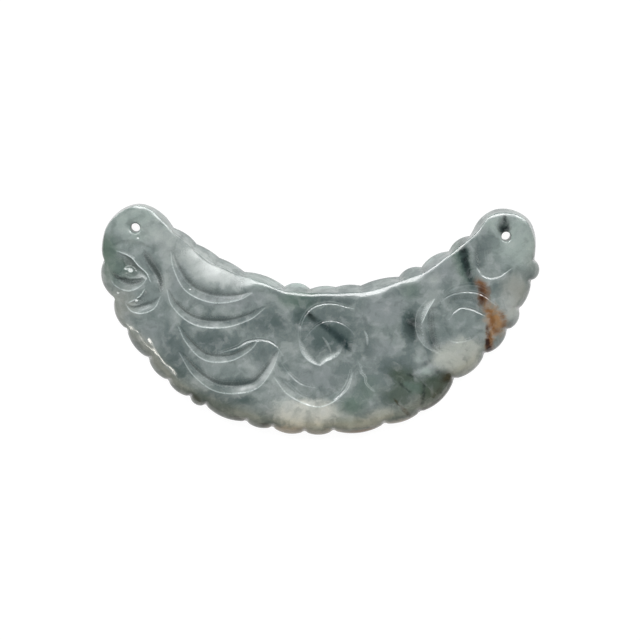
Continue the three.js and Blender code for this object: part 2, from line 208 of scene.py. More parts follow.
# %% The strokes of the carving, in millimetres
# gleam paints a highlight along a stroke's lip; grime adds grime with painted shade; shade adds painted
# shade
SCOOPS = {
    "feather 1": dict(
        line=[(-29.8, 13.6), (-29.4, 10.7), (-26.9, 5.9), (-21.8, 3.5), (-16.2, 4), (-13.6, 5.4)],
        width=2.6, depth=0.3, pillow=2.2, wall=0.2, bank=0.9, grime=0.85, gleam=1.6),
    "feather 2": dict(
        line=[(-30.6, 6), (-29.7, 3), (-25.6, -0.8), (-19.5, -1.6), (-13.8, 0.2), (-11, 2.4)],
        width=2.3, depth=0.29, pillow=1.8, wall=0.16, bank=0.9, grime=0.8, gleam=1.5),
    "feather 3": dict(
        line=[(-28.4, -1.2), (-26.9, -4.4), (-23.3, -8), (-18.1, -8.3), (-14, -6.1), (-12.4, -4.2)],
        width=1.9, depth=0.24, pillow=1.8, wall=0.2, bank=0.9, grime=0.8, gleam=1.5),
    "feather 4": dict(
        line=[(-28.2, -6.6), (-25.3, -11.2), (-20.5, -14.5), (-13, -14), (-9.6, -10), (-8.2, -6.2)],
        width=2.6, depth=0.4, pillow=1.8, wall=0.18, bank=0.9, grime=0.9, gleam=1.3),
    "belly scroll": dict(
        line=[(-9.2, -11.6), (-6.2, -15.2), (0, -17.5), (5.3, -14.2), (6.6, -10.6)],
        width=2, depth=0.26, pillow=2.4, deepest=0.78, bank=0.9, crest=0.05, gleam=1.6),
    "beak": dict(
        line=[(-38.9, 3.2), (-37.8, 1.8), (-35.8, 1.3), (-33.2, 2.3), (-31.8, 4.8)],
        width=2.4, depth=0.34, pillow=1.2, deepest=0.6, wall=0.3, bank=0.85, crest=0.05, taper=1,
        tip=0.02, grime=0.9, gleam=2),
    "beak edge": dict(
        line=[(-35, 6.2), (-35.8, 5), (-36.8, 4.2), (-38.4, 3.4)],
        width=2.4, depth=0.36, deepest=0.25, wall=0.7, pillow=1.5, crest=0.16, flank=0.5, taper=1,
        tip=0.02, gleam=3.5),
    "lower lid": dict(
        line=[(-42.3, 9.9), (-41.3, 7.2), (-38.3, 5.8), (-35.6, 7), (-34.2, 9.2)],
        width=2.6, depth=0.44, deepest=0.78, wall=0.22, pillow=1, bank=0.9, taper=1, tip=0.02,
        grime=1.2, gleam=1.3),
    "brow": dict(
        line=[(-33.8, 7.6), (-34.7, 9.4), (-36.2, 10.8), (-37.8, 12.6), (-40.7, 13.9)],
        width=3.4, depth=0.5, deepest=0.25, wall=0.7, pillow=1.2, crest=0.2, flank=0.5, taper=1.1,
        tip=0.02, gleam=3.4, shade=0.45),
    "neck": dict(
        line=[(-31.2, 5.2), (-31, 7.8), (-31.9, 10.6), (-33.8, 13.2), (-35.6, 14.8)],
        width=2.6, depth=0.4, deepest=0.4, wall=0.5, pillow=1.4, taper=1, tip=0.01, grime=0.5, soft=True),
    "forehead": dict(
        line=[(-33.5, 14.4), (-36, 15.8), (-38, 16.1), (-40, 15.8), (-42, 14.8)],
        width=2.4, depth=0.26, deepest=0.4, wall=0.9, pillow=2, taper=1, tip=0.01, soft=True),
    "horn boss": dict(
        line=[(31.4, 10.4), (32.2, 9), (33.4, 8.3), (34.8, 8.2), (36.2, 8.7), (37.4, 9.6), (38.4, 10.4)],
        width=0.6, depth=0.12, pillow=1.8, crest=0.04, gleam=1),
    "right hook": dict(
        line=[(21.6, 4.4), (19.4, 1.4), (19.3, -2.4), (20.9, -5.2), (24.3, -7)],
        width=1.8, depth=0.26, pillow=1, bank=0.8, gleam=0.6, taper=1, tip=0.02, frost=0.3),
    "hook bar": dict(
        line=[(20.4, -0.6), (21.7, 2.2), (22.9, 4.2)],
        width=1, depth=0.18, pillow=0.8, gleam=2.5, frost=0.8),
    "ring bed": dict(
        line=[(24.9, 1.4), (26.2, 3), (27.7, 3.6), (29.3, 3.5), (31, 2.9), (32.8, 1.6)],
        width=2.2, depth=0.12, deepest=0.3, wall=0.5, pillow=1.2, crest=0, tip=0.01, taper=1, grime=0.4,
        soft=True),
    "cup left": dict(
        line=[(-4.3, -3.8), (-3.9, -6), (-3.3, -7.2), (-2.3, -8.2), (-1.1, -8.9), (0.2, -9.3)],
        width=1.2, depth=0.2, pillow=3, bank=0.9, frost=0.8, gleam=0.6),
    "cup right": dict(
        line=[(-0.7, -9), (0.1, -9.2), (1.2, -8.4), (2.6, -7.8), (3.9, -6.8), (4.5, -5.6)],
        width=1.2, depth=0.23, pillow=3, bank=0.9, frost=0.8, gleam=0.4),
    "cup ridge": dict(
        line=[(3.7, -7.2), (2.4, -6.4), (1.7, -5), (0.6, -3.4)],
        width=1.4, depth=0.2, deepest=0.4, pillow=0.8, soft=True),
}
FLUTES = {
    "beak step": dict(
        line=[(-37.8, 2.6), (-36.8, 2), (-35.8, 1.9), (-34.4, 2.2), (-33.4, 2.9)], width=0.4, depth=0.1),
    "lid groove": dict(
        line=[(-41.6, 9.6), (-39.8, 8.2), (-37.9, 7.5), (-36.4, 7.7), (-34.9, 8.4)],
        width=1.5, depth=0.14, tip=0.02, grime=2, soft=True),
    "eye corner": dict(line=[(-37, 8.8), (-35.2, 8.4)], width=1.2, depth=0.02, grime=0.7, soft=True),
    "neck line": dict(
        line=[(-35.4, 13.6), (-34.3, 12), (-33.2, 10.4), (-32.3, 8.9), (-31.9, 7.7), (-31.8, 5.4)],
        width=1.6, depth=0.24, tip=0.02, grime=2.4, soft=True),
    # A painted highlight: the thin light line under the eye's glint
    "eye gleam": dict(line=[(-38.7, 8.6), (-38, 8.3), (-37.3, 8.5)], width=0.2, depth=0.05, gleam=8),
    "hook": dict(
        line=[
            (-20.4, -6.6), (-16.6, -5.4), (-14.6, -4.3), (-12.3, -3.9), (-10.2, -4.2), (-8.4, -5.4),
            (-7.4, -7)],
        width=0.6, depth=0.2),
    "spiral outer": dict(
        line=[
            (-4.2, -4.4), (-4, -1.4), (-3.1, 0.9), (-1.4, 2.6), (0.8, 3.3), (3, 3.3), (5.6, 2.6),
            (7.6, 2.3)],
        width=0.5, depth=0.15),
    "spiral groove": dict(
        line=[(-4.6, -3), (-4.4, -0.6), (-3.3, 1.6), (-1.4, 3.2), (1, 3.9), (3.4, 3.8), (6, 3), (8, 1)],
        width=1.6, depth=0.1, tip=0.02, grime=0.25, soft=True),
    # Mostly a painted highlight: a short light line right of the spiral
    "spiral glint": dict(line=[(8.9, -2.2), (9.4, -3.4), (9.5, -5)], width=0.2, depth=0.12, gleam=8),
    "spiral inner": dict(
        line=[(-3.4, -4.6), (-2.7, -3.1), (-0.8, -1.1), (1.7, -0.1), (4.3, -0.6), (6.4, -2.1), (7.4, -4)],
        width=0.4, depth=0.11),
    "cup crest": dict(
        line=[(0.5, -3.4), (1.3, -4.4), (1.8, -5.4), (2.2, -6.4)], width=0.2, depth=0.08, gleam=7),
    "spiral back": dict(
        line=[(8, 1.4), (9.2, -1), (9.4, -4), (8.8, -7)],
        width=1.6, depth=0.12, tip=0.02, grime=0.3, soft=True),
    "inner scroll": dict(
        line=[(-7.6, -8.6), (-5.8, -11), (-3.6, -12.8), (-0.6, -13.6)], width=0.5, depth=0.14),
    "lower scroll": dict(
        line=[(-7.2, -12), (-5.4, -13.6), (-3.4, -15.2), (-1.2, -15.7)], width=0.5, depth=0.14),
    "scroll echo": dict(line=[(2.8, -16), (4.6, -14.2), (5.8, -11.8), (6.2, -9.8)], width=0.5, depth=0.24),
    "tail curl": dict(
        line=[(7.6, -8.1), (8.2, -9.5), (8.2, -10.5), (9, -11.4), (9.2, -12.6), (9.8, -13.4), (11, -14.4)],
        width=0.3, depth=0.14, gleam=5),
    "ring outer": dict(
        line=[(23.4, 3), (25.7, 4.9), (29.2, 5.7), (32.4, 5.1), (35.3, 3)],
        width=0.5, depth=0.15, gleam=3),
    "ring groove": dict(
        line=[(27, 2.4), (25.4, 1), (25, -0.6), (25.6, -2.6), (27, -3.8)],
        width=1, depth=0.1, tip=0.02, grime=0.3, soft=True),
    "ring halo": dict(
        line=[(24.1, 3.9), (25.7, 5.9), (28.3, 7), (31.5, 7), (34, 5.8)], width=0.6, depth=0.07),
    "ring inner": dict(
        line=[(25.8, 0.2), (26.7, 1.5), (28.2, 2.5), (30.6, 2.1), (33.1, 0.8)], width=0.5, depth=0.2),
    "ring foot": dict(
        line=[(25.6, -3.8), (27.2, -4.3), (29, -4.1), (30.8, -3.5)], width=0.5, depth=0.09, gleam=5),
    "hook channel": dict(
        line=[(22.4, 2.6), (22.2, -0.4), (22.4, -2.6), (23.2, -5), (24.4, -6.4)],
        width=2.2, depth=0.22, tip=0.02, grime=1, soft=True),
    "boss groove": dict(
        line=[(31.7, 15.4), (31.4, 12.8), (31.7, 10.6), (32.6, 9.2)],
        width=2, depth=0.24, tip=0.02, grime=0.35, soft=True),
    "boss edge": dict(line=[(33.1, 14.6), (33.2, 13), (33.6, 11.2)], width=0.5, depth=0.06),
}
# What a stroke has unless it says otherwise: its size at the tips, and how fast a scoop swells
SCOOP_TIP = 0.12
SCOOP_TAPER = 0.6
SCOOP_DEEPEST = 0.62
FLUTE_TIP = 0.35
# How strongly a flute's lips are painted with a highlight
FLUTE_GLEAM = 2.7
CREST_FADE = 0.28
# How wide the highlight painted along a lip is
LIP_WIDTH = 0.08

# %% [markdown]
# ## Where a place lies beside a stroke
# To carve by formula, every place on the face asks each stroke two things: how far am I to your left, and
# how far along you am I? NumPy answers for thousands of places at once. Places far from the stroke are
# left out first, which keeps it quick.


# %% Distance beside a line and the way along it
def beside(places, line):
    """Signed distance of each place to the left of a line, and the share of the way along it."""
    run = np.diff(line, axis=0)
    length = np.linalg.norm(run, axis=1)
    reach = np.concatenate([[0], np.cumsum(length)])
    away = places[:, None, :] - line[None, :-1, :]
    share = np.clip((away * run).sum(axis=2) / length**2, 0, 1)
    gap = away - share[:, :, None] * run
    distance = np.hypot(gap[:, :, 0], gap[:, :, 1])
    row = np.arange(len(places))
    best = distance.argmin(axis=1)
    turned = run[best, 0] * away[row, best, 1] - run[best, 1] * away[row, best, 0]
    along = (reach[best] + share[row, best] * length[best]) / reach[-1]
    return distance[row, best] * np.where(turned < 0, -1, 1), along


def near(places, line, margin):
    """Indices of the places that lie within a margin of a line's box."""
    low = line.min(axis=0) - margin
    high = line.max(axis=0) + margin
    return np.flatnonzero(((places > low) & (places < high)).all(axis=1))


def swell(along, tip=SCOOP_TIP, taper=SCOOP_TAPER):
    """How far a stroke has swelled, from its tip to its full width. A high taper makes long thin ends."""
    return tip + (1 - tip) * np.sin(np.pi * np.clip(along, 0, 1)) ** taper


LINE_STEP = 0.3
STROKES = [*SCOOPS.values(), *FLUTES.values()]
for stroke in STROKES:
    stroke["line"] = smooth_line(stroke["line"], LINE_STEP)
total = sum(len(stroke["line"]) * LINE_STEP for stroke in STROKES)
print(f"carving: {len(SCOOPS)} scoops and {len(FLUTES)} flutes, {total:.0f} mm of line")

# %% [markdown]
# ## The crown of the face
# The polished face isn't flat. It swells from its edge, in a narrow roll along most of the rim and in a
# broad one below the bird's neck, where the photo shows a wide gloss. A square falloff gives a roll that
# is steepest at the edge and level where it ends.

# %% The crown, as a height for every place inside the face edge
# Each roll of the edge: its width and its drop, in millimetres
STEEP_ROLL = (1.1, 0.26)
BAY_ROLL = (2.4, 0.47)
BROAD_ROLL = (5.8, 1.06)
CRISP_ROLL = (0.5, 0.05)
SOFT_ROLL = (4, 0.65)
# Where one roll turns into another: by Y, by the way the edge faces, and along X
UPPER_FADE = (3.6, 5)
FACING_FADE = (-0.15, 0.45)
BAY_SPAN = (2, 8, 18, 24)
BROAD_SPAN = (-29.5, -25.5, -16.5, -11.5)
CRISP_FADE = (-38.6, -35.6)
DIPS_FADE = (-27, -19)
NICK_DIP = 0.35
NICK_SPREAD = 1.5
CREST_ROOM = 0.1


def ramp(value, low, high):
    """Zero below low, one above high and smooth between."""
    share = np.clip((value - low) / (high - low), 0, 1)
    return share * share * (3 - 2 * share)


def blended(values, other, share):
    """Values moved towards another value by a share."""
    return values + (other - values) * share


def between(value, rise_from, rise_to, fall_from, fall_to):
    """One between two limits, zero outside them and smooth where it changes."""
    return ramp(value, rise_from, rise_to) * (1 - ramp(value, fall_from, fall_to))


# The rim is steep where it faces the horns' side, and soft along the lobed belly
along_edge = np.roll(face_loop, -1, axis=0) - np.roll(face_loop, 1, axis=0)
outward_y = -along_edge[:, 0] / np.linalg.norm(along_edge, axis=1)
edge_x, edge_y = face_loop.T
steep = ramp(edge_y, *UPPER_FADE) * ramp(outward_y, *FACING_FADE)
bay = steep * between(edge_x, *BAY_SPAN)
broad = steep * between(edge_x, *BROAD_SPAN)
# The far side of the bird's horn keeps a crisp edge
crisp = steep * (1 - ramp(edge_x, *CRISP_FADE))


def edge_roll(part):
    """One part of the roll, its width or its drop, beside each point of the face edge."""
    values = blended(SOFT_ROLL[part], STEEP_ROLL[part], steep)
    for roll, share in ((BAY_ROLL, bay), (BROAD_ROLL, broad), (CRISP_ROLL, crisp)):
        values = blended(values, roll[part], share)
    return values


edge_width = edge_roll(0)
dips = NICK_DIP * (1 - steep) * ramp(edge_x, *DIPS_FADE)
edge_drop = edge_roll(1) * (1 + dips * np.exp(-((nick_gap / NICK_SPREAD) ** 2)))
print(f"crown: the edge rolls over a width of {edge_width.min():.1f} to {edge_width.max():.1f} mm")
face_ring = np.vstack([face_loop, face_loop[:1]])


def point_tree(points):
    """A search tree over flat points."""
    tree = KDTree(len(points))
    for index, (x, y) in enumerate(points):
        tree.insert((x, y, 0), index)
    tree.balance()
    return tree


edge_tree = point_tree(face_loop)


def inside_edge(places):
    """How far each place is inside the face edge, and the point of the edge that it lies beside."""
    count = len(face_loop)
    station = np.array([edge_tree.find((x, y, 0))[1] for x, y in places])
    best = np.full(len(places), np.inf)
    turned = np.zeros(len(places))
    beside_at = np.zeros(len(places))
    for step in (-1, 0):
        start = face_loop[(station + step) % count]
        run = face_loop[(station + step + 1) % count] - start
        away = places - start
        share = np.clip((away * run).sum(axis=1) / (run**2).sum(axis=1), 0, 1)
        gap = np.linalg.norm(away - share[:, None] * run, axis=1)
        nearer = gap < best
        best = np.where(nearer, gap, best)
        turned = np.where(nearer, run[:, 0] * away[:, 1] - run[:, 1] * away[:, 0], turned)
        beside_at = np.where(nearer, station + step + share, beside_at)
    return best * np.where(turned < 0, -1, 1), beside_at


def around_edge(values, station):
    """Values of the face edge beside each place."""
    return np.interp(station, np.arange(len(values)), values, period=len(values))


def crown(distance, station):
    """Height of the uncut face."""
    left = 1 - np.clip(distance / around_edge(edge_width, station), 0, 1)
    return THICK - CREST_ROOM - around_edge(edge_drop, station) * left**2


# %% [markdown]
# ## How deep each stroke cuts
# A profile says how deep the stroke is at each distance from its line. The lip is where the profile
# starts at a finite slope: that makes the thin bright line along each feather, because a polished crest
# turns through the angle that mirrors the lamp, and a highlight painted along the lip makes it brighter.
# Where strokes cross, the deepest one wins.


# %% Profiles of scoops and flutes
SOFT_START = 0.3
FAR_WALL_SHARE = 0.72
LEAST_PILLOW = 0.05
SCOOP_FADE = (1.4, 3)
GROOVE_SHARE = 0.88
GROOVE_SINK = 0.8
CRISP_POWER = 0.85
SOFT_POWER = 2


def scoop_cut(
    across, size, width, depth, pillow, deepest=SCOOP_DEEPEST, wall=0.22, bank=0.2, soft=False, **_
):
    """Depth of a scoop to the left of its lip. A bank slopes evenly and a soft lip is rounded."""
    full_width = width * size
    part = across / full_width
    down = np.clip(part / deepest, 0, 1)
    floor = blended(np.sin(np.pi / 2 * down), down, bank)
    if soft:
        floor = ramp(part, -SOFT_START * deepest, deepest)
    beyond = np.clip(part - deepest, 0, None)
    far_wall = 1 / (1 + (beyond / wall) ** 2)
    shoulder = 1 / (1 + (beyond * full_width / (pillow * size + LEAST_PILLOW)) ** 2)
    rise = blended(shoulder, far_wall, FAR_WALL_SHARE) * (1 - ramp(part, *SCOOP_FADE))
    return depth * size * np.where(part < deepest, floor, rise)


def flute_cut(across, size, width, depth, soft=False, **_):
    """Depth of a flute at a distance from its centre line."""
    part = across / (width * size / 2)
    groove = np.clip(1 - part**2, 0, None) ** (SOFT_POWER if soft else CRISP_POWER)
    sink = 1 / (1 + (across / GROOVE_SINK) ** 2) ** 2
    return depth * size * blended(sink, groove, GROOVE_SHARE)


def crest_lift(across, size, crest=0.03, flank=0.3, **_):
    """The little rise of a scoop's lip."""
    fade = np.where(across < 0, flank, CREST_FADE * flank)
    return crest * size * np.exp(-np.abs(across) / fade)


# %% Eye, dish and pits
EYE = dict(at=(-38.1, 9.6), half_length=2.5, half_height=1.6, turn=-16, top=5.4, drop=0.9)
LEFT_DISH = dict(at=(-37.6, 18.6), radius=1.8, depth=0.3)
PITS = [
    ((-4, -1.3), 0.35, 0.2), ((-26, 6.3), 0.25, 0.12),
    ((-36.4, 16.6), 0.5, 0.14), ((-1.4, 0.2), 0.4, 0.08),
]
# Where the polish left a small flat that mirrors a lamp: its middle, radius and slope
CORNER_SLOPE = (-0.2155, -0.1955)
SOFTBOX_SLOPE = (0, 0.354)
SPOTS = [
    ((-34.2, -4.2), 0.85, CORNER_SLOPE), ((-37.8, 9.9), 0.68, SOFTBOX_SLOPE),
    ((-36.7, 3.9), 0.5, SOFTBOX_SLOPE), ((-40.4, 5.4), 0.4, SOFTBOX_SLOPE),
]
SPOT_LEVEL = 0.7
# The unevenness of hand polishing: a height, and two crossed waves by their X, their Y and their start
POLISH_WAVES = [
    (0.035, (0.83, 0.41, 1.3), (0.37, -0.92, 0.4)),
    (0.012, (1.9, -0.7, 0), (0.6, 1.7, 2.1)),
]


def eye_radius(places):
    """Distance from the middle of the eye, where 1 is the eyeball's own edge."""
    turn = math.radians(EYE["turn"])
    away = places - np.array(EYE["at"])
    long = (away[:, 0] * math.cos(turn) + away[:, 1] * math.sin(turn)) / EYE["half_length"]
    high = (away[:, 1] * math.cos(turn) - away[:, 0] * math.sin(turn)) / EYE["half_height"]
    return np.hypot(long, high)


def dent(places, at, radius, depth):
    """A smooth round dent."""
    distance = np.linalg.norm(places - np.array(at), axis=1) / radius
    return depth * np.clip(1 - distance**2, 0, None) ** 2


def hand_wobble(places):
    """The small unevenness that hand polishing leaves."""
    x, y = places.T
    height = np.zeros(len(places))
    for top, *waves in POLISH_WAVES:
        first, second = [np.sin(by_x * x + by_y * y + start) for by_x, by_y, start in waves]
        height += top * first * second
    return height


# %% Cut one stroke and mark its wear, painted shade and painted highlight
# How far a scoop is felt, in its own widths, and a flute, in millimetres
SCOOP_REACH = 3
FLUTE_REACH = 3
# Where painted shade lies past a lip, in millimetres, and where frost does, in widths: its rise and its
# fall
SHADE_SPAN = (0, 0.3, 1, 3)
FROST_SPAN = (-0.1, 0.2, 0.6, 1.2)
# Grime and painted shade lie just past the deepest place, and spread by these shares of the width
GRIME_AND_SHADE_PAST_DEEPEST = 0.06
GRIME_AND_SHADE_BEFORE = 0.16
GRIME_AND_SHADE_BEYOND = 0.34
GRIME_AND_SHADE_SWELL = 1.5
FLUTE_GRIME_AND_SHADE = 0.3


def raise_to(values, some, new):
    """Lifts some of the values to new ones, where those are higher."""
    values[some] = np.maximum(values[some], new)


def cut_scoop(stroke, places, cut, lift, marks):
    """Cuts one scoop into the face and marks its frost, dirt, painted shade and painted highlight."""
    some = near(places, stroke["line"], SCOOP_REACH * stroke["width"])
    across, along = beside(places[some], stroke["line"])
    size = swell(along, stroke.get("tip", SCOOP_TIP), stroke.get("taper", SCOOP_TAPER))
    raise_to(cut, some, scoop_cut(across, size, **stroke))
    raise_to(lift, some, crest_lift(across, size, **stroke))
    part = across / (stroke["width"] * size)
    # Painted shade beside the lip, kept with the grime
    if "shade" in stroke:
        raise_to(marks["grime"], some, stroke["shade"] * size * between(across, *SHADE_SPAN))
    # Grime and painted shade just past the deepest place
    if "grime" in stroke:
        beyond = part - stroke.get("deepest", SCOOP_DEEPEST) - GRIME_AND_SHADE_PAST_DEEPEST
        spread = np.where(beyond < 0, GRIME_AND_SHADE_BEFORE, GRIME_AND_SHADE_BEYOND)
        deep = np.exp(-((beyond / spread) ** 2)) * np.minimum(1, GRIME_AND_SHADE_SWELL * size)
        raise_to(marks["grime"], some, deep * stroke["grime"])
    if "frost" in stroke:
        raise_to(marks["frost"], some, stroke["frost"] * size * between(part, *FROST_SPAN))
    # A highlight painted along the crisp lip
    if not stroke.get("soft"):
        bright = np.exp(-((across / LIP_WIDTH) ** 2)) * np.sqrt(size)
        raise_to(marks["lip"], some, bright * stroke.get("gleam", 1))


def cut_flute(stroke, places, cut, marks):
    """Cuts one flute into the face and marks its dirt, painted shade and painted highlight."""
    some = near(places, stroke["line"], FLUTE_REACH)
    across, along = beside(places[some], stroke["line"])
    size = swell(along, stroke.get("tip", FLUTE_TIP))
    raise_to(cut, some, flute_cut(across, size, **stroke))
    # Grime and painted shade along the groove
    if "grime" in stroke:
        deep = np.exp(-((across / (FLUTE_GRIME_AND_SHADE * stroke["width"])) ** 2)) * size
        raise_to(marks["grime"], some, deep * stroke["grime"])
    # A highlight painted along both crisp lips
    if not stroke.get("soft"):
        bright = np.exp(-(((np.abs(across) - stroke["width"] * size / 2) / LIP_WIDTH) ** 2))
        raise_to(marks["lip"], some, bright * size * stroke["depth"] * stroke.get("gleam", FLUTE_GLEAM))


# %% The finished height of the face
EDGE_FADE = 0.8
FULL_HOLLOW = 0.6
SKIN_REACH = 1.2
SKIN_FADE = (6, 17)
SKIN_LEAST = 0.25
SATIN_FADE = (3, 7)


def skin_share(y):
    """How brown the skin of the rim is: most along the belly and least beside the horns."""
    return blended(SKIN_LEAST, 1, ramp(-y, *SKIN_FADE))


def carve(places):
    """Height and marks of every place: hollow, painted lip highlight, dirt and painted shade, frost, skin,
    satin.
    """
    distance, station = inside_edge(places)
    edge_fade = ramp(distance, 0, EDGE_FADE)
    cut, lift, lip, grime, frost = np.zeros((5, len(places)))
    marks = {"lip": lip, "grime": grime, "frost": frost}
    for stroke in SCOOPS.values():
        cut_scoop(stroke, places, cut, lift, marks)
    for stroke in FLUTES.values():
        cut_flute(stroke, places, cut, marks)
    for at, radius, depth in PITS:
        cut += dent(places, at, radius, depth)
    cut += dent(places, **LEFT_DISH)
    height = crown(distance, station) + (hand_wobble(places) + lift - cut) * edge_fade
    ball = EYE["top"] - EYE["drop"] * eye_radius(places) ** 2
    cut = np.where(ball > height, 0, cut)
    height = np.maximum(height, ball)
    for at, radius, slope in SPOTS:
        away = places - np.array(at)
        gap = np.linalg.norm(away, axis=1)
        level = height[gap.argmin()] - away @ np.array(slope)
        height = blended(level, height, ramp(gap, SPOT_LEVEL * radius, radius))
    for at in HOLES:
        rim = np.linalg.norm(places - np.array(at), axis=1) - HOLE_RADIUS
        height -= HOLE_FLARE * np.clip(1 - rim / HOLE_FLARE, 0, 1) ** 2
    marks = {"hollow": np.clip(cut / FULL_HOLLOW, 0, 1), **marks}
    marks = {name: values * edge_fade for name, values in marks.items()}
    belly = 1 - around_edge(steep, station)
    marks["skin"] = belly * np.exp(-np.clip(distance, 0, None) / SKIN_REACH) * skin_share(places[:, 1])
    marks["satin"] = around_edge(broad, station) * (1 - ramp(distance, *SATIN_FADE))
    return height, marks


# %% [markdown]
# ## Points for the face
# A grid would show steps along the crisp lips, so rows of points follow each lip. The rest is filled with
# a hexagonal grid, fine near the strokes and coarser on the open stone. Delaunay triangulation then joins
# them, with the face edge and the holes as lines that no triangle may cross.

# %% Points that follow the strokes, and the filling between them
FINE = 0.17
COARSE = 0.36
LIP_ROWS = [-0.1, 0, 0.1]
EDGE_ROWS = [0.13, 0.27]
HOLE_ROWS = [0.08, 0.17, 0.28, 0.42]
HOLE_SIDES = 48
LEAST_GAP = 0.09
COARSE_GAP = 0.6 * COARSE
EDGE_CLEAR = 0.1
HOLE_CLEAR = 0.05
CENTRE_CLEAR = 0.005
# How far the fine grid goes beside a stroke, in its widths, with some more for the lip
BUSY_WIDTHS = 1.3
BUSY_MARGIN = 0.5
BEFORE_LIP = 0.45
BEFORE_WIDTHS = 0.3


def leftward(along):
    """The unit vectors to the left of some directions."""
    along = along / np.linalg.norm(along, axis=1)[:, None]
    return np.column_stack([-along[:, 1], along[:, 0]])


def offset_rows(line, offsets):
    """Rows of points beside a line."""
    left = leftward(np.gradient(line, axis=0))
    return np.vstack([line + left * offset for offset in offsets])


def hex_grid(step):
    """A hexagonal grid over the drawing."""
    low = face_loop.min(axis=0)
    high = face_loop.max(axis=0)
    across = np.arange(low[0], high[0], step)
    rows = []
    for k, y in enumerate(np.arange(low[1], high[1], step * math.sqrt(0.75))):
        rows.append(np.column_stack([across + step / 2 * (k % 2), np.full(len(across), y)]))
    return np.vstack(rows)


def clear_of_holes(places, gap):
    """Which places are further than a gap from the wall of every cord hole."""
    clear = np.ones(len(places), bool)
    for at in HOLES:
        clear &= np.linalg.norm(places - np.array(at), axis=1) > HOLE_RADIUS + gap
    return clear


def thinned(points, gap):
    """The points that keep a gap to all the points before them, found with a hash of square cells."""
    kept = {}
    result = []
    for index, (x, y) in enumerate(points):
        cell = (math.floor(x / gap), math.floor(y / gap))
        around = [(cell[0] + i, cell[1] + j) for i in (-1, 0, 1) for j in (-1, 0, 1)]
        clear = all(math.dist((x, y), kept[c]) > gap for c in around if c in kept)
        if clear and cell not in kept:
            kept[cell] = (x, y)
            result.append(index)
    return points[result]


def circle(at, radius, count=HOLE_SIDES):
    """Points around a circle."""
    angle = np.linspace(0, 2 * math.pi, count, endpoint=False)
    return np.array(at) + radius * np.column_stack([np.cos(angle), np.sin(angle)])


def face_points():
    """The loose points of the face: rows along the lips, rings round the holes and the filling."""
    rows = [circle(at, HOLE_RADIUS + gap) for at in HOLES for gap in HOLE_ROWS]
    rows.append(offset_rows(face_ring, EDGE_ROWS))
    rows += [offset_rows(stroke["line"], LIP_ROWS) for stroke in SCOOPS.values()]
    for stroke in FLUTES.values():
        half_width = stroke["width"] / 2
        rows.append(offset_rows(stroke["line"], [-half_width, 0, half_width]))
    fine = hex_grid(FINE)
    busy = np.linalg.norm(fine - np.array(EYE["at"]), axis=1) < BUSY_WIDTHS * EYE["half_length"]
    for stroke in STROKES:
        width = stroke["width"]
        some = near(fine, stroke["line"], BUSY_WIDTHS * width + BUSY_MARGIN)
        across, _ = beside(fine[some], stroke["line"])
        reach = BUSY_WIDTHS if "pillow" in stroke else 1
        busy[some] |= (across > -BEFORE_LIP - BEFORE_WIDTHS * width) & (across < reach * width)
    spaced = thinned(np.vstack(rows + [fine[busy]]), LEAST_GAP)
    tree = point_tree(spaced)
    coarse = [(x, y) for x, y in hex_grid(COARSE) if tree.find((x, y, 0))[2] > COARSE_GAP]
    points = np.vstack([spaced, coarse])
    distance, _ = inside_edge(points)
    return points[(distance > EDGE_CLEAR) & clear_of_holes(points, HOLE_CLEAR)]


def triangulated(loops, loose):
    """Points and triangles of a flat area: the first loop is its border, the others are holes."""
    points = np.vstack(loops + [loose])
    edges = []
    start = 0
    for loop in loops:
        edges += [(start + i, start + (i + 1) % len(loop)) for i in range(len(loop))]
        start += len(loop)
    out = delaunay_2d_cdt([Vector(p) for p in points], edges, [], 1, 1e-7)
    triangles = np.array(out[2])
    source = np.array([old[0] for old in out[3]])
    triangles = source[triangles]
    return points, triangles[clear_of_holes(points[triangles].mean(axis=1), CENTRE_CLEAR)]


# %% [markdown]
# ## The rim, the back and the bores
# The rim is a stack of loops with the same number of points. Along the upper edge it is a flat wall under
# a small round edge. Along the belly it rolls over in a soft curve that meets the face at the face's own
# slope. Each nick between two lobes is filed a little deeper. The back is plain and flat, with a broken
# edge.

# %% Loops of the rim and rings of the bores
STEEP_KNEE = 0.8
STEEP_KNEE_Z = 4.45
KNEE_GAP = 0.1
KNEE_SHARE = 0.6
SOFT_RISE = 0.62
HANDLE_GAP = 0.6
HANDLE_RISE = 0.8
LEAST_REACH = 0.05
NICK_WIDTH = 0.45
NICK_DEPTH = 0.3
NICK_START = 0.2
NICK_REACH = 0.5
NICK_SINK = 0.5
RIM_SHARES = [0, 0.07, 0.15, 0.25, 0.36, 0.48, 0.6, 0.68, 0.76, 0.84, 0.92]
BACK_TURNS = [90, 60, 30, 0]
BORE_DEPTHS = [0.15, 0.35, 0.6, 0.8]


def back_break():
    """Loops round the broken edge of the back, from its border up."""
    inward = leftward(np.roll(rim_loop, -1, axis=0) - np.roll(rim_loop, 1, axis=0))
    loops = []
    for angle in np.radians(BACK_TURNS):
        flat = rim_loop + inward * BACK_BREAK * (1 - math.cos(angle))
        loops.append(np.column_stack([flat, np.full(len(flat), BACK_BREAK * (1 - math.sin(angle)))]))
    return loops


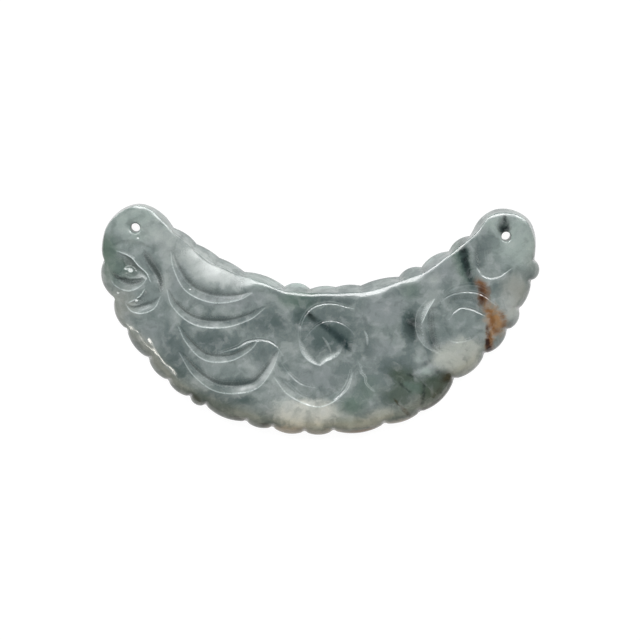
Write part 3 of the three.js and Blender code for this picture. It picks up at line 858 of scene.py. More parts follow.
def rim_loops(edge_z):
    """Loops from the back's border up to just below the face edge, as points with three coordinates."""
    loops = back_break()
    nick = np.exp(-((nick_gap / NICK_WIDTH) ** 2))
    across = face_loop - rim_loop
    gap = np.linalg.norm(across, axis=1)
    reach = np.maximum(gap, LEAST_REACH)
    rise = edge_z - RIM_FOOT_Z
    knee_z = np.minimum(STEEP_KNEE_Z, edge_z - KNEE_GAP)
    edge_slope = 2 * edge_drop / edge_width
    handle = np.minimum(HANDLE_GAP * gap, HANDLE_RISE * rise / edge_slope)
    for share in RIM_SHARES:
        knee = min(1, share / KNEE_SHARE)
        arc = math.pi / 2 * max(0, (share - KNEE_SHARE) / (1 - KNEE_SHARE))
        steep_part = STEEP_KNEE * knee + (1 - STEEP_KNEE) * (1 - math.cos(arc))
        steep_z = RIM_FOOT_Z + (knee_z - RIM_FOOT_Z) * knee + (edge_z - knee_z) * math.sin(arc)
        first = 3 * share * (1 - share) ** 2
        second = 3 * share**2 * (1 - share)
        third = share**3
        soft_part = (second * (gap - handle) + third * gap) / reach
        climb = first * SOFT_RISE * rise + second * (rise - handle * edge_slope) + third * rise
        filed = nick * NICK_DEPTH * math.sin(math.pi * min(1, NICK_START + share))
        notch = np.minimum(filed, NICK_REACH * gap * (1 - share)) / reach
        inward = blended(soft_part, steep_part, steep) + notch
        z = blended(RIM_FOOT_Z + climb, steep_z, steep) - NICK_SINK * filed * (1 - steep)
        loops.append(np.column_stack([rim_loop + across * inward[:, None], z]))
    return loops


def bore_loops(at, top_z):
    """Rings down a cord hole, from the face to the back."""
    return [np.column_stack([circle(at, HOLE_RADIUS), top_z * (1 - depth)]) for depth in BORE_DEPTHS]


# %% Build the plaque as one mesh
BACK_GRID = 1.6
BACK_CLEAR = 0.3
BACK_HOLE_CLEAR = 0.4


def bands(levels, count):
    """Squares between rings of points. A level is the number of a ring's first point."""
    squares = []
    for low, high in zip(levels, levels[1:]):
        for i in range(count):
            j = (i + 1) % count
            squares.append((low + i, low + j, high + j, high + i))
    return squares


def back_area(border, hole_rings):
    """Points and triangles of the flat back."""
    grid = hex_grid(BACK_GRID)
    inside, _ = inside_edge(grid)
    clear = (inside > BACK_CLEAR) & clear_of_holes(grid, BACK_HOLE_CLEAR)
    return triangulated([border] + hole_rings, grid[clear])


def plaque_mesh():
    """The plaque's points, its polished faces, its ground faces and its marks, painted light among them.
    """
    hole_rings = [circle(at, HOLE_RADIUS) for at in HOLES]
    flat, top_triangles = triangulated([face_loop] + hole_rings, face_points())
    height, face_wear_and_light = carve(flat)
    around = len(rim_loop)
    loops = rim_loops(height[:around])
    rim_start = len(flat)
    back_start = rim_start + around * len(loops)
    rim_levels = [rim_start + k * around for k in range(len(loops))]
    polished = [tuple(t) for t in top_triangles] + bands(rim_levels + [0], around)
    # The back's border is the lowest loop of the rim
    back_flat, back_triangles = back_area(loops[0][:, :2], hole_rings)
    number = np.arange(len(back_flat)) + back_start - around
    number[:around] = rim_start + np.arange(around)
    ground = [tuple(number[t][::-1]) for t in back_triangles]
    inner = back_flat[around:]
    points = [np.column_stack([flat, height]), *loops, np.column_stack([inner, np.zeros(len(inner))])]
    start = back_start + len(inner)
    for k, at in enumerate(HOLES):
        top = around + k * HOLE_SIDES
        rings = bore_loops(at, height[top:top + HOLE_SIDES])
        points += rings
        between_ends = [start + j * HOLE_SIDES for j in range(len(rings))]
        ground += bands([top, *between_ends, back_start + k * HOLE_SIDES], HOLE_SIDES)
        start += HOLE_SIDES * len(rings)
    places = np.vstack(points)
    wear_and_light_values = {}
    for name, values in face_wear_and_light.items():
        wear_and_light_values[name] = np.zeros(len(places))
        wear_and_light_values[name][:len(flat)] = values
    rim_skin = (1 - steep) * skin_share(rim_loop[:, 1])
    wear_and_light_values["skin"][rim_start:back_start] = np.tile(rim_skin, len(loops))
    return places, polished, ground, wear_and_light_values


places, polished, ground, wear_and_light_values = plaque_mesh()
places[:, :2] += SHIFT
mesh = bpy.data.meshes.new("jade_plaque")
mesh.from_pydata((places * MM).tolist(), [], polished + ground)
mesh.polygons.foreach_set("material_index", [0] * len(polished) + [1] * len(ground))
for name, values in wear_and_light_values.items():
    layer = mesh.attributes.new(name, "FLOAT", "POINT")
    layer.data.foreach_set("value", values)
mesh.shade_smooth()
mesh.validate(verbose=True)
plaque = bpy.data.objects.new("jade_plaque", mesh)
bpy.context.scene.collection.objects.link(plaque)
triangle_count = sum(len(p.vertices) - 2 for p in mesh.polygons)
print(f"plaque: {len(places)} points, {triangle_count} triangles")

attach(plaque, "root")
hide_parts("plaque")

# %% [markdown]
# ## Nodes by the handful
# A finish is a network of nodes. A few small helpers keep the network readable: they place a node and
# wire or set its inputs, mix two colours, fade from one value to another and do sums. Colours are named as
# they look on a screen, from 0 to 255, and turned into the linear values that a renderer works with.


# %% Helpers that place and wire nodes
def put(tree, kind, inputs=None, **settings):
    """A new node. Each input is a plain value or another node's output."""
    node = tree.nodes.new("ShaderNode" + kind)
    for name, value in settings.items():
        setattr(node, name, value)
    for key, value in (inputs or {}).items():
        if isinstance(value, bpy.types.NodeSocket):
            tree.links.new(value, node.inputs[key])
        else:
            node.inputs[key].default_value = value
    return node


def sums(tree, operation, *values, clamp=False):
    """The result of a calculation with values."""
    return put(tree, "Math", dict(enumerate(values)), operation=operation, use_clamp=clamp).outputs[0]


def product(tree, a, b, clamp=False):
    """One value times another."""
    return sums(tree, "MULTIPLY", a, b, clamp=clamp)


def vectors(tree, operation, *values):
    """The result of a calculation with vectors."""
    return put(tree, "VectorMath", dict(enumerate(values)), operation=operation).outputs[0]


def mixed(tree, share, a, b, blend="MIX"):
    """Colour a with a share of colour b."""
    return put(tree, "Mix", {0: share, 6: a, 7: b}, data_type="RGBA", blend_type=blend).outputs[2]


def faded(tree, value, low, high, to_low=0.0, to_high=1.0):
    """A smooth change from one value to another between two limits."""
    inputs = {0: value, 1: low, 2: high, 3: to_low, 4: to_high}
    return put(tree, "MapRange", inputs, interpolation_type="SMOOTHSTEP").outputs[0]


def noise(tree, place, scale, detail, roughness, output=0):
    """A cloudy noise; its scale is in waves to the millimetre. Output 0 is a value and 1 a colour."""
    inputs = {"Vector": place, "Scale": scale, "Detail": detail, "Roughness": roughness}
    return put(tree, "TexNoise", inputs).outputs[output]


def seen(red, green, blue):
    """A colour as it looks on a screen, turned into linear light."""
    parts = [value / 255 for value in (red, green, blue)]
    return tuple(p / 12.92 if p < 0.04 else ((p + 0.055) / 1.055) ** 2.4 for p in parts) + (1.0,)


def new_group(name, inputs, outputs):
    """An empty node group with named inputs and outputs, its input sockets and its output node."""
    group = bpy.data.node_groups.new(name, "ShaderNodeTree")
    for side, sockets in (("INPUT", inputs), ("OUTPUT", outputs)):
        for label, kind in sockets.items():
            group.interface.new_socket(label, in_out=side, socket_type="NodeSocket" + kind)
    return group, group.nodes.new("NodeGroupInput").outputs, group.nodes.new("NodeGroupOutput")


def deliver(group, leave, results):
    """Wires results to the outputs of a group."""
    for label, result in results.items():
        group.links.new(result, leave.inputs[label])
    print(f"node group {group.name}: {len(group.nodes)} nodes, puts out {', '.join(results)}")


def use(tree, group, inputs):
    """The outputs of a node group, used with some inputs."""
    return put(tree, "Group", inputs, node_tree=group).outputs


# %% [markdown]
# ## The body of the stone
# Jade is a felt of tiny crystals, so its colours have no clean edges: they drift into each other in clouds
# and end in fibres. Two noises that push the coordinates about, before anything is looked up in them, give
# that drift. Three more give the clouds, the flecks and the broken edges of the patches, and a fine one
# gives the grain that lies all through the stone.

# %% A group for clouds, flecks and wandering places
DRIFT_WAVE = 0.2
DRIFT_REACH = 4.0
FIBRE_WAVE = 0.85
FIBRE_REACH = 1.6


def swayed(tree, place, onto, wave, roughness, reach):
    """Places pushed about by a noise, as far as a reach."""
    push = vectors(tree, "SUBTRACT", noise(tree, place, wave, 3, roughness, output=1), (0.5, 0.5, 0.5))
    return vectors(tree, "MULTIPLY_ADD", push, (reach, reach, 0), onto)


clouds, enter, leave = new_group(
    "Stone clouds",
    {"Place": "Vector"},
    {"Wandered": "Vector", "Clouds": "Float", "Flecks": "Float", "Breakup": "Float", "Grain": "Float"},
)
place = enter["Place"]
drifted = swayed(clouds, place, place, DRIFT_WAVE, 0.5, DRIFT_REACH)
wandered = swayed(clouds, place, drifted, FIBRE_WAVE, 0.55, FIBRE_REACH)
deliver(clouds, leave, {
    "Wandered": wandered,
    "Clouds": noise(clouds, wandered, 0.3, 4, 0.55),
    "Flecks": noise(clouds, wandered, 0.5, 3, 0.5),
    "Breakup": sums(clouds, "SUBTRACT", noise(clouds, wandered, 1.1, 4, 0.6), 0.5),
    "Grain": noise(clouds, place, 4.0, 3, 0.6),
})

# %% [markdown]
# ## Patches of colour
# This slab has its own map: a pale shoulder, teal under the feathers, a black-green streak and a seam of
# rust, and two ovals paint light onto the upper wall. Each is one soft oval, laid in the wandered places
# so that its edge breaks up. An oval needs a middle, two half lengths, a turn and how soft its edge is, so
# one group serves for all of them.

# %% A group for one soft oval
patch_group, enter, leave = new_group(
    "Soft oval",
    {"Place": "Vector", "Wandered": "Vector", "Wander": "Float", "Middle": "Vector", "Reach": "Vector",
     "Turn": "Float", "Core": "Float", "Breakup": "Float", "Ragged": "Float"},
    {"Mask": "Float"},
)
both = {0: enter["Wander"], 4: enter["Place"], 5: enter["Wandered"]}
strayed = put(patch_group, "Mix", both, data_type="VECTOR").outputs[1]
turned = {
    "Vector": vectors(patch_group, "SUBTRACT", strayed, enter["Middle"]),
    "Angle": product(patch_group, enter["Turn"], -1.0),
}
level = put(patch_group, "VectorRotate", turned, rotation_type="Z_AXIS").outputs[0]
flat = vectors(patch_group, "MULTIPLY", vectors(patch_group, "DIVIDE", level, enter["Reach"]), (1, 1, 0))
length = put(patch_group, "VectorMath", {0: flat}, operation="LENGTH").outputs["Value"]
frayed = sums(patch_group, "MULTIPLY_ADD", enter["Breakup"], enter["Ragged"], length)
deliver(patch_group, leave, {"Mask": faded(patch_group, frayed, enter["Core"], 1.0, 1.0, 0.0)})

# %% The stone's own colours, and one painted light for the upper wall
CELADON = seen(153, 165, 160)
GREY_GREEN = seen(122, 133, 131)
SLATE = seen(92, 104, 103)
TEAL = seen(72, 88, 86)
DEEP_GREEN = seen(20, 33, 32)
DEEP_TEAL = seen(29, 48, 49)
LEAF = seen(92, 112, 101)
MOSS = seen(70, 83, 72)
SMOKE = seen(133, 141, 141)
PALE = seen(165, 172, 169)
BRIGHT = seen(192, 198, 196)
MIST = seen(174, 179, 176)
# Painted light: the upper wall is painted lighter where light falls on it
PAINTED_WALL_LIGHT = seen(174, 188, 183)
CREAM = seen(176, 180, 172)
LIGHT_CREAM = seen(196, 198, 190)
OLIVE = seen(58, 56, 38)
WARM_GREY = seen(146, 150, 144)
BROWN = seen(140, 113, 86)
HONEY = seen(184, 174, 160)
RUST = seen(164, 124, 80)
EMBER = seen(118, 76, 36)
DARK_RUST = seen(54, 24, 6)

# Each oval: colour, middle, half lengths in millimetres, turn in degrees, core and strength
OVALS = [
    # left horn and head
    (CELADON, (-36, 19), (9, 7), 0, 0.5, 0.95),
    (PALE, (-31.6, 15.6), (5, 7), 30, 0.3, 0.85),
    (GREY_GREEN, (-40.4, 16.6), (3.6, 3), 0, 0.1, 0.5),
    (GREY_GREEN, (-34, 12.4), (4.8, 4.8), 15, 0.3, 0.85),
    (LEAF, (-42.4, 14), (3, 4.4), 0, 0.4, 0.8),
    (LEAF, (-40, 10), (5, 3.6), -20, 0.3, 0.65),
    (MOSS, (-38.2, 11.4), (2.6, 1.3), -35, 0.2, 0.6),
    (CELADON, (-38.2, 9), (1.8, 0.8), -16, 0.2, 0.7),
    (WARM_GREY, (-39.5, 3), (5.4, 5), 0, 0.4, 0.85),
    (GREY_GREEN, (-33.2, 3), (4.4, 7), 15, 0.4, 0.9),
    (SMOKE, (-33.6, -3), (4, 4), 35, 0.3, 0.7),
    (GREY_GREEN, (-31, -5), (3.4, 4), 35, 0.3, 0.7),
    (WARM_GREY, (-34.4, -6.2), (10, 1.7), -48, 0.4, 0.8),
    (CREAM, (-38.6, -1), (1.6, 4), 30, 0.2, 0.4),
    (SMOKE, (-38.4, 0), (2, 3), 25, 0.3, 0.7),
    # shoulder and feathers
    (PALE, (-23, 11), (9.5, 4.4), -30, 0.5, 0.85),
    (BRIGHT, (-21.4, 9.3), (5, 2.4), -30, 0.1, 0.45),
    (SMOKE, (-28.4, 8), (3, 5), -30, 0.3, 0.7),
    (PALE, (-30.8, 7.8), (2, 4), -20, 0.2, 0.8),
    (SMOKE, (-18.5, 3.6), (9, 2), -3, 0.4, 0.85),
    (SMOKE, (-12.6, 4.4), (3.4, 2), 0, 0.3, 0.7),
    (SLATE, (-19.5, -0.1), (8, 1.4), 0, 0.3, 0.8),
    (SLATE, (-21, -4.6), (8, 3.2), -4, 0.5, 0.95),
    (SLATE, (-10.2, -0.6), (6.8, 3.1), -8, 0.4, 0.9),
    (TEAL, (-9.4, -0.2), (3.6, 2.2), -8, 0.1, 0.5),
    (SLATE, (-29, -6), (3.4, 7.4), 18, 0.4, 0.9),
    (TEAL, (-25, -9), (3, 3), 0, 0.2, 0.6),
    (TEAL, (-28.8, -10.2), (2.2, 3.6), 35, 0.3, 0.6),
    (GREY_GREEN, (-18.6, -10.2), (6, 1.8), 0, 0.3, 0.7),
    (TEAL, (-16, -12.6), (7, 1.5), 3, 0.3, 0.8),
    (SLATE, (-11, -7), (3.6, 3.4), 0, 0.3, 0.6),
    (SLATE, (-21.6, -16.4), (7, 2.6), -20, 0.4, 0.9),
    (SLATE, (-18, -16.2), (6, 1.8), 0, 0.3, 0.8),
    (TEAL, (-14.6, -16.2), (3, 1.8), 0, 0.2, 0.7),
    (GREY_GREEN, (-21, -16.8), (2.6, 1.6), -20, 0.2, 0.5),
    (MOSS, (-16, -18), (4.4, 1.8), -10, 0.2, 0.15),
    (CELADON, (-12.4, 7.6), (5, 2), -18, 0.3, 0.8),
    (GREY_GREEN, (-6.4, 4.4), (3, 2.4), 0, 0.2, 0.7),
    # middle spiral
    (LEAF, (-3.6, 4), (6, 2.6), 0, 0.5, 0.9),
    # Painted light: two ovals on the upper wall, above the face edge
    (PAINTED_WALL_LIGHT, (-3, 7), (11, 1.3), 0, 0.5, 0.7),
    (PAINTED_WALL_LIGHT, (22, 12), (6, 1.2), 32, 0.3, 0.5),
    (TEAL, (-2.6, 3.6), (4, 1.8), 0, 0.2, 0.45),
    (SLATE, (2.6, 4.2), (7, 1.5), 0, 0.4, 0.9),
    (SLATE, (1.6, -2.4), (8.4, 7), 0, 0.6, 0.95),
    (TEAL, (-4, 0.8), (2.6, 3), 0, 0.3, 0.95),
    (TEAL, (1.4, -3), (5, 4.4), 0, 0.2, 0.6),
    (TEAL, (4.6, -3.4), (5.5, 2.6), -45, 0.1, 0.8),
    (TEAL, (10, -6), (1.8, 2.8), 0, 0.4, 0.9),
    (SMOKE, (-0.8, -11.6), (6.4, 4), 0, 0.5, 0.75),
    (PALE, (-7.8, -15.2), (5, 4.2), -30, 0.5, 0.75),
    (LIGHT_CREAM, (-2.4, -18.8), (9.4, 3.6), 0, 0.7, 1),
    # right of the middle
    (LEAF, (6.4, -17.2), (4, 3.4), 0, 0.3, 0.75),
    (CREAM, (12.2, -18.8), (4, 1.8), 8, 0.3, 0.9),
    (SMOKE, (13, 2), (7.6, 4.8), 10, 0.5, 0.9),
    (LEAF, (18.2, 6.2), (3, 3.2), 0, 0.2, 0.5),
    (SMOKE, (23.4, 9.4), (5.5, 4), 35, 0.4, 0.85),
    (PALE, (22.6, 8), (2.6, 2), 35, 0.2, 0.6),
    (TEAL, (18.2, -1), (3, 5), 0, 0.5, 1),
    (DEEP_GREEN, (18.4, -1.4), (2.4, 4), 0, 0, 1),
    (SMOKE, (12.6, -6), (5, 3), 0, 0.3, 0.8),
    (SLATE, (15.4, -10), (7, 3.6), -10, 0.4, 0.95),
    (MOSS, (16.4, -11.6), (4.6, 3), -20, 0.4, 0.95),
    (CELADON, (21.2, -10.2), (1.9, 1.3), 0, 0.2, 0.7),
    (SLATE, (22, -5.4), (2, 4.4), 10, 0.4, 0.85),
    (MOSS, (22.2, -13.4), (5.4, 3.6), 30, 0.5, 0.95),
    (MOSS, (15.4, -15), (5.4, 3.6), 0, 0.4, 0.8),
    (LEAF, (9.4, -13.8), (3.4, 3.6), 0, 0.3, 0.6),
    (LEAF, (19, -14), (2.4, 1.8), 0, 0.2, 0.7),
    (LEAF, (17.4, -13), (1.4, 0.9), -20, 0.1, 0.8),
    (GREY_GREEN, (22.5, -14.3), (0.6, 1.6), 0, 0.1, 0.7),
    (CELADON, (21.3, -10.3), (1.1, 0.9), -20, 0.1, 0.8),
    (CELADON, (19.7, -7.9), (1.3, 0.9), 20, 0.1, 0.7),
    (DEEP_TEAL, (21.4, -8.6), (1.8, 0.8), 30, 0.1, 0.6),
    (DEEP_GREEN, (23.6, -10.4), (0.9, 1), -40, 0.1, 0.6),
    (DEEP_GREEN, (18.2, -11.2), (1.5, 0.6), -15, 0.1, 0.6),
    (DEEP_TEAL, (22.6, -4.8), (0.9, 2.2), 15, 0.2, 0.6),
    # right ring and horn
    (GREY_GREEN, (28.4, -0.6), (5, 4.4), 0, 0.5, 0.9),
    (SLATE, (28.4, 4.8), (6, 2), 0, 0.3, 0.45),
    (CREAM, (28, -7.4), (6.6, 4.6), 10, 0.7, 1),
    (GREY_GREEN, (25, -2.6), (2.4, 3.2), 0, 0.2, 0.6),
    (CREAM, (27.2, -5.2), (3, 2.4), 20, 0.3, 0.4),
    (CELADON, (39.4, 15.4), (6.4, 8), 0, 0.5, 0.95),
    (CELADON, (34.8, 19.4), (3.6, 3), 0, 0.3, 0.9),
    (GREY_GREEN, (36.4, 11), (3.6, 3.6), 0, 0.2, 0.25),
    (SLATE, (32, 12.8), (2.2, 5), -12, 0.4, 0.7),
    (WARM_GREY, (39, 5.4), (4.4, 5.4), 0, 0.4, 0.85),
    (MIST, (38, 2.4), (3.4, 4), 0, 0.4, 0.7),
    # dark rim spots and the brown skin of the lower edge
    (OLIVE, (25.4, -11.8), (2.6, 2), -30, 0.3, 0.95),
    (OLIVE, (-25, -15.8), (2, 1), -40, 0.2, 0.7),
    (OLIVE, (-16.5, -20.2), (3, 0.8), -15, 0.3, 0.5),
    (OLIVE, (-11.2, -21.4), (1.8, 0.8), 0, 0.3, 0.6),
    (CREAM, (6.6, -20.8), (9, 1.8), 3, 0.4, 0.75),
    (LEAF, (5.6, -20.4), (3.6, 1.2), 0, 0.2, 0.35),
    (HONEY, (2, -23), (10, 1.4), 0, 0.3, 0.5),
    (HONEY, (16, -21.2), (7, 1.5), 8, 0.3, 0.7),
    (HONEY, (-7, -22.4), (7, 1.6), 3, 0.3, 0.85),
    (BROWN, (9, -22.7), (7, 0.9), 5, 0.3, 0.8),
]

# Each vein: colour, the points it runs through, its half width at both ends, core, strength and raggedness
VEINS = [
    (LEAF, [(27.2, 15), (28.2, 12), (30, 8)], (2.6, 2), 0, 0.7, 0.7),
    (DEEP_TEAL, [(28.4, 15), (28.8, 12), (29.6, 9.6), (30.8, 6.6)], (1.8, 1.3), -0.2, 1, 0.6),
    (DEEP_GREEN, [(28.4, 14.6), (29.1, 11.4), (30, 8.4)], (1.2, 0.9), -0.2, 1, 0.8),
    (DEEP_GREEN, [(36.9, 21.2), (36.7, 19.8), (36.7, 18.2)], (0.7, 1.9), 0, 1, 0.8),
    (DEEP_GREEN, [(36.3, 18), (37.5, 18.2)], (1.1, 1), 0.1, 1, 0.6),
    (DEEP_GREEN, [(-2.4, 1.3), (-0.9, -0.1)], (1, 1), 0, 1, 0.6),
    (DEEP_TEAL, [(-0.6, -0.2), (2.4, -2.2), (4.6, -4.2), (5.7, -5.6)], (1.1, 1.5), 0, 1, 0.5),
    (BRIGHT, [(-16.2, -13.9), (-12.6, -13), (-10.3, -10.5), (-9, -7.2)], (0.6, 1.3), 0, 0.6, 0.4),
    (DEEP_GREEN, [(15.6, -12.4), (17, -13.8), (18.4, -14.8)], (0.5, 0.4), 0, 0.5, 1.2),
    (DEEP_GREEN, [(20.9, -12.4), (20.8, -15), (20.4, -17.4)], (0.6, 0.8), 0, 0.6, 1.2),
    (OLIVE, [(14.8, -15.8), (16.6, -17.8), (18, -19.6)], (0.4, 0.8), 0.2, 0.8, 1.6),
    (OLIVE, [(19.6, -19.2), (23.6, -16.8), (26.8, -13)], (1, 0.9), 0.1, 0.75, 0.6),
    (OLIVE, [(22.8, -15.6), (24.4, -13.8)], (0.8, 0.8), 0.2, 0.6, 1.6),
    (EMBER, [(31.6, 7.8), (33, 6), (32.4, 3.8)], (1.4, 1.9), -0.1, 1, 0.9),
    (RUST, [(33.4, 2.6), (35, 0.8), (35.4, -1.8)], (2, 3.1), -0.6, 1, 1),
    (RUST, [(34.2, -2), (33.8, -6.4)], (1.5, 1.2), -0.4, 0.9, 1),
    (DARK_RUST, [(32, 6.8), (32.6, 5), (32, 3.4)], (1.1, 1.1), -0.3, 1, 1.1),
    (EMBER, [(33, 2.6), (34.6, 0.8), (34.2, -1.4), (35.8, -2.6)], (0.8, 1), -0.2, 0.8, 1.2),
    (EMBER, [(36.2, 1.6), (37, -0.4), (36.4, -2)], (0.7, 0.8), -0.2, 0.6, 1.2),
    (DARK_RUST, [(33.4, -1), (33.9, -3.6)], (0.7, 0.9), -0.2, 0.8, 1.2),
    (EMBER, [(33.8, -3.6), (34.3, -6.6)], (1, 1.3), 0, 0.8, 1.2),
    (DARK_RUST, [(33.4, -3.8), (34.1, -6.9)], (0.7, 0.95), 0.4, 1, 1.2),
]
VEIN_STEP = 1.6


def vein_ovals(colour, points, half_widths, core, strength, ragged):
    """Ovals that overlap along a smooth line and so make a vein."""
    line = smooth_line(points, VEIN_STEP)
    widths = np.linspace(*half_widths, len(line) - 1)
    ovals = []
    for start, end, half_width in zip(line, line[1:], widths):
        middle = (start + end) / 2
        turn = math.degrees(math.atan2(*(end - start)[::-1]))
        length = math.dist(start, end) * 0.5 + half_width
        ovals.append((colour, tuple(middle), (length, half_width), turn, core, strength, ragged))
    return ovals


for vein in VEINS:
    OVALS += vein_ovals(*vein)

# %% A group for the colour of the stone
FULL_WANDER = 7
CORE_SHARE = 0.6
CLOUD_RAGGED = 0.5
GREY_SHARE = 0.55
PALE_FLECK = seen(186, 191, 190)
DARK_FLECK = seen(68, 82, 80)
PALE_FLECKS = 0.24
DARK_FLECKS = 0.26
GRAIN_LIGHT = (0.96, 1.04)
stone, enter, leave = new_group("Jade body", {"Place": "Vector"}, {"Color": "Color", "Grain": "Float"})
cloud = use(stone, clouds, {"Place": enter["Place"]})
body = mixed(stone, faded(stone, cloud["Clouds"], 0.36, 0.64), SLATE, PALE)
body = mixed(stone, GREY_SHARE, body, GREY_GREEN)
broken = faded(stone, cloud["Clouds"], 0.35, 0.6, 0.8, 1.1)
for colour, middle, reach, turn, core, strength, *ragged in OVALS:
    mask = use(stone, patch_group, {
        "Place": enter["Place"],
        "Wandered": cloud["Wandered"],
        "Wander": min(1, math.sqrt(reach[0] * reach[1]) / FULL_WANDER),
        "Middle": (*middle, 0),
        "Reach": (*reach, 1),
        "Turn": math.radians(turn),
        "Core": core * CORE_SHARE,
        "Breakup": cloud["Breakup"],
        "Ragged": ragged[0] if ragged else CLOUD_RAGGED,
    })["Mask"]
    share = product(stone, mask, product(stone, broken, strength), clamp=True)
    body = mixed(stone, share, body, colour)
body = mixed(stone, faded(stone, cloud["Flecks"], 0.5, 0.72, 0.0, PALE_FLECKS), body, PALE_FLECK)
body = mixed(stone, faded(stone, cloud["Flecks"], 0.48, 0.3, 0.0, DARK_FLECKS), body, DARK_FLECK)
speck = faded(stone, cloud["Grain"], 0.3, 0.7, *GRAIN_LIGHT)
grain = put(stone, "CombineXYZ", {0: speck, 1: speck, 2: speck}).outputs[0]
body = mixed(stone, 1.0, body, grain, "MULTIPLY")
deliver(stone, leave, {"Color": body, "Grain": cloud["Grain"]})
print(f"stone: {len(OVALS)} ovals of colour")

# %% [markdown]
# ## Polish and wear
# The polishing wheel reaches the open face and the crests but not the bottoms of the scoops, which keep a
# frosted look. The mesh carries six values, worked out while it was carved: how hollow a place is, which
# also darkens it as painted shade with some dirt; how near it is to a crisp lip, where a highlight is
# painted; how much grime and painted shade it holds; how much frost; how brown its skin is; and how much
# the polish has turned to satin. One group turns them into colour and roughness. A second gives the faint
# ripple that polished jade always has, because its crystals are not equally hard.

# %% A group for the wear of the carving, its painted shade and its painted highlight
WEAR_AND_LIGHT_NAMES = ["hollow", "lip", "grime", "frost", "skin", "satin"]
SKIN_TINT = seen(255, 246, 230)
# Painted shade in the hollows, with some dirt
HOLLOW_TINT = seen(150, 165, 162)
DUST = seen(196, 204, 202)
# Grime and painted shade
GRIME_AND_SHADE = seen(58, 68, 66)
# The highlight painted along the lips
LIP_SHINE = seen(220, 230, 228)
FROST = seen(204, 212, 210)
# Shares of the hollows' painted shade, of the dust and of the lip's painted highlight
HOLLOW_SHADE = 0.22
DUST_SHARE = 0.25
LIP_SHARE = 0.46
# How grime and painted shade, and frost, hold to the stone's grain: its limits and the shares between them
GRIME_AND_SHADE_HOLD = (0.62, 0.4, 0.4, 0.7)
FROST_HOLD = (0.3, 0.7, 0.4, 0.75)
# The polish is never quite even, and each kind of wear makes it rougher
POLISH = (0.2, 0.8, 0.08, 0.15)
HOLLOW_ROUGH = 0.22
FROST_ROUGH = 0.3
GRIME_AND_SHADE_ROUGH = 0.25
SATIN_ROUGH = 0.18
wear_and_light, enter, leave = new_group(
    "Carving wear",
    {"Color": "Color", "Grain": "Float"} | {name.title(): "Float" for name in WEAR_AND_LIGHT_NAMES},
    {"Color": "Color", "Roughness": "Float"},
)
grain = enter["Grain"]
dust = product(wear_and_light, faded(wear_and_light, grain, 0.5, 0.75), enter["Hollow"])
grime = product(wear_and_light, enter["Grime"], faded(wear_and_light, grain, *GRIME_AND_SHADE_HOLD))
frost = product(wear_and_light, enter["Frost"], faded(wear_and_light, grain, *FROST_HOLD))
colour = mixed(wear_and_light, enter["Skin"], enter["Color"], SKIN_TINT, "MULTIPLY")
# Painted shade and some dirt: the hollows are darkened
colour = mixed(wear_and_light, product(wear_and_light, enter["Hollow"], HOLLOW_SHADE), colour, HOLLOW_TINT, "MULTIPLY")
colour = mixed(wear_and_light, product(wear_and_light, dust, DUST_SHARE), colour, DUST)
# Grime and painted shade
colour = mixed(wear_and_light, grime, colour, GRIME_AND_SHADE)
# The highlight painted along the lips
colour = mixed(wear_and_light, product(wear_and_light, enter["Lip"], LIP_SHARE, clamp=True), colour, LIP_SHINE)
colour = mixed(wear_and_light, frost, colour, FROST)
rough = faded(wear_and_light, grain, *POLISH)
rougher = [
    (enter["Hollow"], HOLLOW_ROUGH), (frost, FROST_ROUGH), (enter["Grime"], GRIME_AND_SHADE_ROUGH),
    (enter["Satin"], SATIN_ROUGH),
]
for value, share in rougher:
    rough = sums(wear_and_light, "MULTIPLY_ADD", value, share, rough)
deliver(wear_and_light, leave, {"Color": colour, "Roughness": rough})

# %% A group for the ripple of the polish
RIPPLE_HEIGHT = 0.00002
ripple, enter, leave = new_group(
    "Polish ripple", {"Place": "Vector", "Grit": "Float"}, {"Height": "Float"},
)
peel = noise(ripple, enter["Place"], 0.7, 2, 0.4)
pores = noise(ripple, enter["Place"], 5.0, 3, 0.6)
rippled = sums(ripple, "MULTIPLY_ADD", pores, enter["Grit"], peel)
deliver(ripple, leave, {"Height": product(ripple, rippled, RIPPLE_HEIGHT)})

# %% The polished jade of the face and rim, and the plainer ground jade of the back and bores
GROUND_GRIT = 1.2
JADE = {
    "IOR": 1.66,
    "Subsurface Weight": 0.3,
    "Subsurface Radius": (0.9, 1.0, 0.95),
    "Subsurface Scale": 0.0008,
}


def jade_material(name, polished):
    """Jade with its colour, wear and polish."""
    material = bpy.data.materials.new(name)
    material.use_nodes = True
    tree = material.node_tree
    shader = tree.nodes["Principled BSDF"]
    where = put(tree, "TexCoord").outputs["Object"]
    place = vectors(tree, "MULTIPLY_ADD", where, (1 / MM,) * 3, (-SHIFT[0], -SHIFT[1], 0))
    if polished:
        marks = {part: put(tree, "Attribute", attribute_name=part).outputs["Fac"] for part in WEAR_AND_LIGHT_NAMES}
        grit = marks["hollow"]
    else:
        # The back and bores count as wholly hollow, so the darkening that paints shade into hollows
        # darkens them too
        marks = dict.fromkeys(WEAR_AND_LIGHT_NAMES, 0.0) | {"hollow": 1.0}
        grit = GROUND_GRIT
    inputs = dict(use(tree, stone, {"Place": place}).items())
    inputs |= {part.title(): value for part, value in marks.items()}
    worn_and_lit = use(tree, wear_and_light, inputs)
    height = use(tree, ripple, {"Place": place, "Grit": grit})["Height"]
    bump = put(tree, "Bump", {"Height": height, "Distance": 1.0, "Strength": 1.0})
    tree.links.new(worn_and_lit["Color"], shader.inputs["Base Color"])
    tree.links.new(worn_and_lit["Roughness"], shader.inputs["Roughness"])
    tree.links.new(bump.outputs[0], shader.inputs["Normal"])
    for label, value in JADE.items():
        shader.inputs[label].default_value = value
    return material


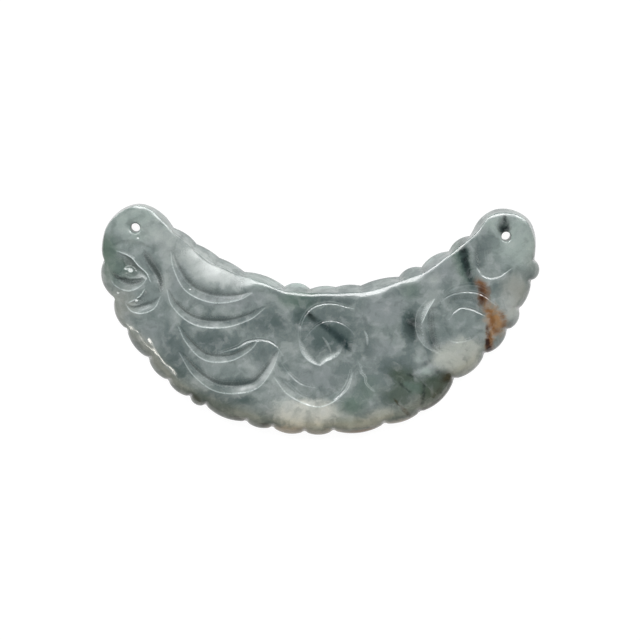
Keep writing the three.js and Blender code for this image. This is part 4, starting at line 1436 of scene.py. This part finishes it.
mesh.materials.append(jade_material("polished jade", True))
mesh.materials.append(jade_material("ground jade", False))
print("materials:", [material.name for material in mesh.materials])

# %% [markdown]
# ## The studio
# The plaque lies on a pale floor and the camera looks down on it, leaning a little towards the horns, so
# that the upper side of the rim shows as it does in the photo. One wide softbox stands beyond the horns,
# and a dimmer, larger glow behind it softens its edge. Level jade mirrors the dark ceiling and keeps its
# colour, while every crest that turns towards the box draws a bright line. A small lamp at the lower left
# gives the glints on the rim below the bird's head. The floor glows, so that it is as white as the photo's
# ground, but less so in reflections, which would otherwise look milky.

# %% The floor
FLOOR_SIZE = 4.0
FLOOR_DROP = 0.0001
FLOOR_GREY = 0.08
FLOOR_ROUGH = 0.9
FLOOR_GLOW = 0.96
MIRRORED_LOSS = 0.27
half = FLOOR_SIZE / 2
corners = [(-half, -half, 0), (half, -half, 0), (half, half, 0), (-half, half, 0)]
floor_mesh = bpy.data.meshes.new("floor")
floor_mesh.from_pydata(corners, [], [(0, 1, 2, 3)])
floor = bpy.data.objects.new("floor", floor_mesh)
floor.location.z = -FLOOR_DROP
bpy.context.scene.collection.objects.link(floor)
paper = bpy.data.materials.new("white paper")
paper.use_nodes = True
paper_shader = paper.node_tree.nodes["Principled BSDF"]
paper_shader.inputs["Base Color"].default_value = (FLOOR_GREY, FLOOR_GREY, FLOOR_GREY, 1)
paper_shader.inputs["Roughness"].default_value = FLOOR_ROUGH
paper_shader.inputs["Emission Color"].default_value = (1, 1, 1, 1)
mirrored = put(paper.node_tree, "LightPath").outputs["Is Glossy Ray"]
glow = sums(paper.node_tree, "SUBTRACT", FLOOR_GLOW, product(paper.node_tree, mirrored, MIRRORED_LOSS))
paper.node_tree.links.new(glow, paper_shader.inputs["Emission Strength"])
floor_mesh.materials.append(paper)
print(f"floor: {FLOOR_SIZE} m square, {FLOOR_DROP * 1000} mm below the plaque")

# %% The camera
VIEW_WIDTH = 0.128
SENSOR_WIDTH = 36
CAMERA_TILT = math.radians(5)
CAMERA_DISTANCE = 0.8
centre = Vector((SHIFT[0] * MM, SHIFT[1] * MM, THICK * MM))
camera_data = bpy.data.cameras.new("camera")
camera_data.sensor_width = SENSOR_WIDTH
camera_data.lens = SENSOR_WIDTH * CAMERA_DISTANCE / VIEW_WIDTH
camera_data.clip_start = 0.01
camera = bpy.data.objects.new("camera", camera_data)
camera.location = centre + CAMERA_DISTANCE * Vector((0, math.sin(CAMERA_TILT), math.cos(CAMERA_TILT)))
camera.rotation_euler = (-CAMERA_TILT, 0, 0)
bpy.context.scene.collection.objects.link(camera)
bpy.context.scene.camera = camera
print(f"camera: a lens of {camera_data.lens:.0f} mm, {CAMERA_DISTANCE} m from the face")


# %% The lamps and the room
def lamp(name, heading, lean, distance, size, radiance, colour=(1, 1, 1)):
    """An area lamp. The heading is its compass turn from +X, the lean its angle from straight above."""
    data = bpy.data.lights.new(name, "AREA")
    data.shape = "RECTANGLE"
    data.size, data.size_y = size
    data.energy = radiance * math.pi * size[0] * size[1]
    data.color = colour
    turn = math.radians(heading)
    slant = math.radians(lean)
    sideways = math.sin(slant)
    direction = Vector((sideways * math.cos(turn), sideways * math.sin(turn), math.cos(slant)))
    thing = bpy.data.objects.new(name, data)
    thing.location = centre + distance * direction
    thing.rotation_euler = direction.to_track_quat("Z", "Y").to_euler()
    bpy.context.scene.collection.objects.link(thing)
    print(f"{name}: {data.energy:.2f} W")


lamp("softbox", 90, 34, 1.1, (1.7, 0.26), 9)
lamp("softbox glow", 90, 34, 1.12, (1.9, 0.6), 1.4)
lamp("corner lamp", 224, 39.5, 1.0, (0.08, 0.032), 26, (1, 0.96, 0.88))

ROOM_GREY = (0.2, 0.205, 0.21, 1)
world = bpy.data.worlds.new("room")
world.use_nodes = True
world.node_tree.nodes["Background"].inputs["Color"].default_value = ROOM_GREY
bpy.context.scene.world = world
bpy.context.scene.view_settings.view_transform = "Standard"
